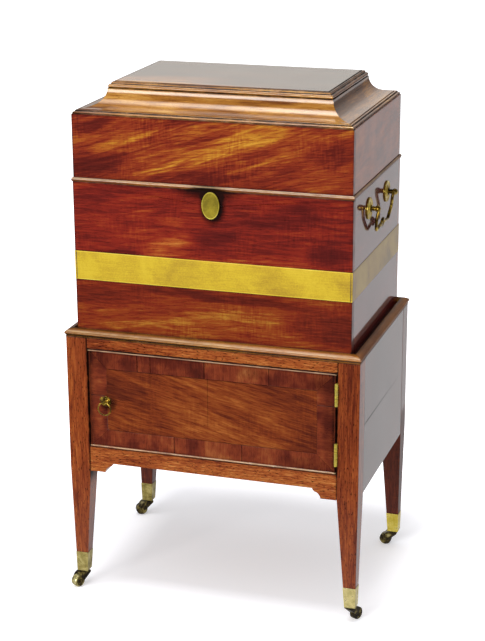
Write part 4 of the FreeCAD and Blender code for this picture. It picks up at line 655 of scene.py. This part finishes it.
METALS = {
    # Bright lines along the band's top and bottom edges are painted highlights; darker lines run just
    # short of the corners, and the side faces past them are set darker: painted shade.
    "band_brass": (BRIGHT_BRASS, dict(
        level=0.32, cloud=0.65, cloud_scale=14.0, speck=0.25, bump=0.08, metallic=0.35, coat=0.5,
        lines=(("z", 0.5464, 0.0016, 0.4), ("z", 0.5926, 0.0016, 0.4), ("x", -0.2275, 0.0012, -0.5),
               ("x", 0.2275, 0.0012, -0.5)), past=("x", 0.2300, 0.13))),
    "hinge_brass": (GOLD_BRASS, dict(
        level=0.74, cloud=0.8, cloud_scale=90.0, rough=0.30, metallic=0.45,
        lines=tuple(("z", joint, 0.0008, -0.9) for joint in (0.2893, 0.3017, 0.3903, 0.4027)))),
    # The bright oval on the cover's rim is a painted highlight.
    "cover_brass": (COVER_BRASS, dict(
        level=0.14, cloud=1.0, cloud_scale=60.0, speck=0.2, rough=0.40, metallic=0.4,
        ring=("x", "z", (0.002, 0.6838, 0.0142, 0.0214, 0.08, 0.55)))),
    # One tone per corner socket: lighter and darker copies of one brass, set to how each looks in the
    # light, painted light and shade.
    "socket_front_left_brass": (PALE_BRASS, dict(level=0.42, cloud=1.5, cloud_scale=70.0, metallic=0.5)),
    "socket_front_right_brass": (PALE_BRASS, dict(level=0.74, cloud=1.3, cloud_scale=70.0, metallic=0.5)),
    "socket_back_left_brass": (PALE_BRASS, dict(level=0.30, cloud=1.6, cloud_scale=70.0, metallic=0.5)),
    "socket_back_right_brass": (GOLD_BRASS, dict(level=0.72, cloud=1.3, cloud_scale=70.0, metallic=0.5)),
    "caster_brass": (DARK_BRASS, dict(level=0.44, cloud=2.2, cloud_scale=95.0, rough=0.30, metallic=0.5)),
    # A lighter copy of the caster brass for the wheel that faces the light: painted light.
    "lit_caster_brass": (DARK_BRASS, dict(level=0.72, cloud=2.0, cloud_scale=80.0, rough=0.30,
                                           metallic=0.5)),
    "handle_brass": (HANDLE_BRASS, dict(level=0.30, cloud=2.2, cloud_scale=85.0, speck=0.1, rough=0.20,
                                        metallic=0.92)),
    "bail_brass": (HANDLE_BRASS, dict(level=0.40, cloud=2.0, cloud_scale=85.0, speck=0.1, rough=0.22,
                                      metallic=0.72)),
    "rosette_brass": (HANDLE_BRASS, dict(level=0.60, cloud=1.5, cloud_scale=110.0, rough=0.28,
                                         metallic=0.5)),
    "pull_brass": (HANDLE_BRASS, dict(level=0.38, cloud=1.6, cloud_scale=110.0, rough=0.22, metallic=0.6)),
    "lock_brass": (COVER_BRASS, dict(level=0.5, cloud=1.0, rough=0.42)),
    "screw_brass": (PALE_BRASS, dict(level=0.30, cloud=1.2, cloud_scale=160.0, rough=0.36, metallic=0.5)),
}
METAL_OF_NODE = {
    "brass_band": "band_brass", "keyhole_plate": "cover_brass", "keyhole_cover": "cover_brass",
    "lock_case": "lock_brass", "lock_bolt": "lock_brass", "lid_link_plate": "lock_brass",
    "door_catch": "lock_brass", "handle_rosettes": "rosette_brass", "handle_posts": "handle_brass",
    "handle_bail_left": "bail_brass", "handle_bail_right": "bail_brass", "pull_backplate": "handle_brass",
    "pull_spindle": "pull_brass", "pull_ring": "pull_brass", "door_hinge_leg_leaves": "hinge_brass",
    "door_hinge_door_leaves": "hinge_brass", "lid_hinge_chest_leaves": "hinge_brass",
    "lid_hinge_lid_leaves": "hinge_brass",
}
CORNERS = ("front_left", "front_right", "back_left", "back_right")
for corner in CORNERS:
    METAL_OF_NODE["caster_socket_" + corner] = "socket_" + corner + "_brass"
    METAL_OF_NODE["caster_fork_" + corner] = "caster_brass"
    METAL_OF_NODE["caster_wheel_" + corner] = "caster_brass"
# The front-left wheel takes the lighter copy: painted light.
METAL_OF_NODE["caster_wheel_front_left"] = "lit_caster_brass"


def dress_nodes():
    """Gives every CAD node its material, and returns all of them by name."""
    made = {name: wood(name, palette, **spec) for name, (palette, spec) in WOODS.items()}
    made.update({name: metal(name, palette, **spec) for name, (palette, spec) in METALS.items()})
    for node, material in {**WOOD_OF_NODE, **METAL_OF_NODE}.items():
        slots = NODES[node].data.materials
        slots.clear()
        slots.append(made[material])
    return made


MATERIALS = dress_nodes()

# Edges softened as by handling: width in metres
SOFT_EDGES = {
    "lid_front": 0.0006, "lid_back": 0.0006, "lid_side_left": 0.0006, "lid_side_right": 0.0006,
    "chest_front": 0.0005, "chest_back": 0.0005, "front_top_rail": 0.0004, "front_bottom_rail": 0.0006,
    "door_crossbanding": 0.0002, "door_field_veneer": 0.0002, "brass_band": 0.0003,
    "stand_side_left": 0.0004, "stand_side_right": 0.0004,
}
for corner in CORNERS:
    SOFT_EDGES["leg_" + corner] = 0.0008
    SOFT_EDGES["caster_socket_" + corner] = 0.0006


def add_modifier(thing, name, kind, **settings):
    modifier = thing.modifiers.new(name, kind)
    for key, value in settings.items():
        setattr(modifier, key, value)


def soften(node, width):
    """Rounds a node's edges by modifiers, with its mesh left as it is."""
    thing = NODES[node]
    add_modifier(thing, "weld", "WELD", merge_threshold=0.00001)
    add_modifier(thing, "soft_edges", "BEVEL", width=width, segments=2, limit_method="ANGLE",
                 angle_limit=math.radians(35), harden_normals=False)
    add_modifier(thing, "normals", "WEIGHTED_NORMAL", keep_sharp=False, weight=100)


for node, width in SOFT_EDGES.items():
    soften(node, width)


# ---------------------------------------------------------------- screws
# Slotted heads, by row: body and slot of the plate they hold down, way out of it, head radius, centres
LID_SCREW_X = (-0.157, -0.140, -0.123, 0.123, 0.140, 0.157)
DOOR_SCREW_Z = (0.2845, 0.2955, 0.3065, 0.3855, 0.3965, 0.4075)
SCREWS = {
    "lid_hinge_chest_screws": ("chest", "pale_brass", (0, 0, 1), 0.0021,
                               [(x, 0.1552, 0.7135) for x in LID_SCREW_X]),
    "lid_hinge_lid_screws": ("lid", "pale_brass", (0, 0, -1), 0.0021,
                             [(x, 0.1552, 0.7139) for x in LID_SCREW_X]),
    "door_hinge_leg_screws": ("stand", "pale_brass", (-1, 0, 0), 0.0020,
                              [(0.2110, -0.1615, z) for z in DOOR_SCREW_Z]),
    "door_hinge_door_screws": ("door", "pale_brass", (1, 0, 0), 0.0020,
                               [(0.2095, -0.1615, z) for z in DOOR_SCREW_Z]),
    "lock_screws": ("chest", "lock_brass", (0, 0, 1), 0.0022,
                    [(-0.0242, -0.1505, 0.7135), (0.0282, -0.1505, 0.7135)]),
    "link_plate_screws": ("lid", "lock_brass", (0, 0, -1), 0.0022,
                          [(-0.0242, -0.1505, 0.7139), (0.0282, -0.1505, 0.7139)]),
}
SCREW_RISE = 0.00017
SLOT_HALF = 0.00028
SLOT_DEPTH = 0.75 * SCREW_RISE


def screw_head(radius, turn):
    """A flat head with a screwdriver slot, its seat at z 0 and its top at SCREW_RISE."""
    head = bmesh.new()
    bmesh.ops.create_cone(head, cap_ends=True, segments=28, radius1=radius, radius2=radius * 0.93,
                          depth=SCREW_RISE)
    for side in (-1, 1):
        geometry = head.verts[:] + head.edges[:] + head.faces[:]
        bmesh.ops.bisect_plane(head, geom=geometry, plane_co=(0, side * SLOT_HALF, 0), plane_no=(0, 1, 0))
    strip = [face for face in head.faces
             if face.normal.z > 0.9 and abs(face.calc_center_median().y) < SLOT_HALF]
    made = bmesh.ops.extrude_face_region(head, geom=strip)["geom"]
    bmesh.ops.delete(head, geom=strip, context="FACES_ONLY")
    low = [item for item in made if isinstance(item, bmesh.types.BMVert)]
    bmesh.ops.translate(head, verts=low, vec=(0, 0, -SLOT_DEPTH))
    bmesh.ops.translate(head, verts=head.verts[:], vec=(0, 0, SCREW_RISE / 2))
    bmesh.ops.rotate(head, verts=head.verts[:], matrix=Matrix.Rotation(turn, 3, "Z"))
    return head


def make_screws(name, body, way, radius, places, material):
    """One row of screw heads as a single piece, each head turned differently."""
    stand_up = Vector(way).to_track_quat("Z", "Y").to_matrix().to_4x4()
    whole = bmesh.new()
    for index, place in enumerate(places):
        head = screw_head(radius, 0.4 + 1.9 * index)
        bmesh.ops.transform(head, matrix=Matrix.Translation(place) @ stand_up, verts=head.verts[:])
        single = bpy.data.meshes.new(name + "_single")
        head.to_mesh(single)
        head.free()
        whole.from_mesh(single)
        bpy.data.meshes.remove(single)
    mesh = bpy.data.meshes.new(name)
    whole.to_mesh(mesh)
    whole.free()
    mesh.materials.append(material)
    screws = bpy.data.objects.new(name, mesh)
    bpy.context.scene.collection.objects.link(screws)
    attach(screws, body)


for name, (body, slot, way, radius, places) in SCREWS.items():
    make_screws(name, body, way, radius, places, MATERIALS["screw_brass"])


# ---------------------------------------------------------------- stage
FLOOR_HALF = 9.0
# To the camera the open floor glows at 1, and less in a patch under the object, a painted shadow over the
# lamps' own: its middle and half size, how far it fades out, and the glow at its front and at its back
SHADOW_PATCH_MIDDLE = (-0.06, 0.05)
SHADOW_PATCH_HALF = (0.25, 0.20)
SHADOW_PATCH_FADE = 0.22
SHADOW_PATCH_GLOW = (0.38, 0.26)


def make_floor():
    """Pale paper that keeps the object's shadow, glows less in a patch under the object as a painted
    shadow, and glows in reflections, most at the back right.
    """
    mesh = bpy.data.meshes.new("floor")
    corners = [(x * FLOOR_HALF, y * FLOOR_HALF, 0) for x, y in ((-1, -1), (1, -1), (1, 1), (-1, 1))]
    mesh.from_pydata(corners, [], [(0, 1, 2, 3)])
    floor = bpy.data.objects.new("floor", mesh)
    bpy.context.scene.collection.objects.link(floor)
    material, shader = new_material("floor_paper")
    _, part = coordinates(shader)
    past = []
    for letter, middle, half in zip("xy", SHADOW_PATCH_MIDDLE, SHADOW_PATCH_HALF):
        away = shader.math("ABSOLUTE", shader.sub(part[letter], middle))
        past.append(shader.math("MAXIMUM", shader.sub(away, half), 0.0))
    far = shader.math("SQRT", shader.math("MULTIPLY_ADD", past[0], past[0], shader.mul(past[1], past[1])))
    # The painted shadow's glow, dimmer toward the back.
    shadow_patch_glow = shader.ease(part["y"], -0.25, 0.15, *SHADOW_PATCH_GLOW)
    seen_glow = shader.blend(shader.ease(far, 0.0, SHADOW_PATCH_FADE), shadow_patch_glow, 1.0)
    mirror_glow = shader.mul(shader.ease(part["y"], -0.9, 0.1, 0.02, 0.80),
                             shader.ease(part["x"], -0.6, -0.2, 0.3))
    light_path = shader.node("LightPath").node.outputs
    seen, mirrored = light_path["Is Camera Ray"], light_path["Is Glossy Ray"]
    glow = shader.blend(mirrored, shader.mul(seen, seen_glow), mirror_glow)
    paper = shader.node("BsdfDiffuse", {"Color": srgb(238, 239, 245)})
    shine = shader.node("Emission", {"Color": (0.975, 0.965, 0.972, 1), "Strength": glow})
    plain = shader.node("AddShader", {0: paper, 1: shine})
    surface = shader.node("MixShader", {0: mirrored, 1: plain, 2: shine})
    shader.node("OutputMaterial", {"Surface": surface})
    mesh.materials.append(material)


SOFT_BOX_STRENGTH = 15.0
ROOM_STRENGTH = 0.02


def make_world():
    """White to the camera, a soft even light on the object, and a dark room for its reflections.

    The room has a pale backdrop, a long soft box low in front and one in the ceiling. Each lies between
    limits in the direction's y and z, the backdrop and the ceiling box in x too, with eased edges.
    """
    world = bpy.data.worlds.new("world")
    bpy.context.scene.world = world
    world.use_nodes = True
    shader = Shader(world.node_tree)
    _, way = coordinates(shader, GENERATED)

    def within(*edges):
        """The product of eased edges: (letter, low, high, and the values there)."""
        result = shader.ease(way[edges[0][0]], *edges[0][1:])
        for letter, *limits in edges[1:]:
            result = shader.mul(result, shader.ease(way[letter], *limits))
        return result

    backdrop = shader.mul(within(("y", -0.10, 0.25), ("x", -0.15, 0.25, 1.0, 0.45)),
                          within(("z", 0.46, 0.36, 0.20, 1.04), ("z", 0.02, 0.22, 0.4)))
    front_box = within(("z", -0.08, 0.05, 0.0, SOFT_BOX_STRENGTH), ("z", 0.36, 0.22), ("y", -0.80, -0.88))
    ceiling_box = within(("y", -0.50, -0.22), ("y", 0.30, -0.02), ("z", 0.80, 0.88),
                         ("x", -0.40, -0.20, 5.0, SOFT_BOX_STRENGTH), ("x", -0.10, -0.21))
    room = shader.total([ROOM_STRENGTH, backdrop, front_box, ceiling_box])
    light_path = shader.node("LightPath").node.outputs
    seen, mirrored = light_path["Is Camera Ray"], light_path["Is Glossy Ray"]
    sky = shader.ease(way["z"], -0.2, 1.0, 0.42, 0.66)
    strength = shader.blend(seen, shader.blend(mirrored, sky, room), 1.0)
    tone = shader.tint(mirrored, (1, 1, 1, 1), (1.0, 0.985, 0.92, 1))
    shine = shader.node("Background", {"Color": tone, "Strength": strength})
    shader.node("OutputWorld", {"Surface": shine})


def area_light(name, place, target, size, power, colour=(1, 1, 1)):
    """A soft lamp that doesn't show in reflections."""
    data = bpy.data.lights.new(name, "AREA")
    data.shape = "RECTANGLE"
    data.size, data.size_y = size
    data.energy = power
    data.color = colour
    light = bpy.data.objects.new(name, data)
    bpy.context.scene.collection.objects.link(light)
    light.location = place
    light.rotation_euler = (Vector(target) - Vector(place)).to_track_quat("-Z", "Y").to_euler()
    light.visible_glossy = False


make_floor()
make_world()
area_light("key", (-0.95, -2.8, 1.24), (0, 0, 0.6), (1.3, 0.62), 40, (1.0, 0.98, 0.95))
area_light("top", (-0.4, -0.55, 3.2), (-0.4, -0.55, 0), (1.5, 0.9), 54)

bpy.context.scene.view_settings.view_transform = "Standard"
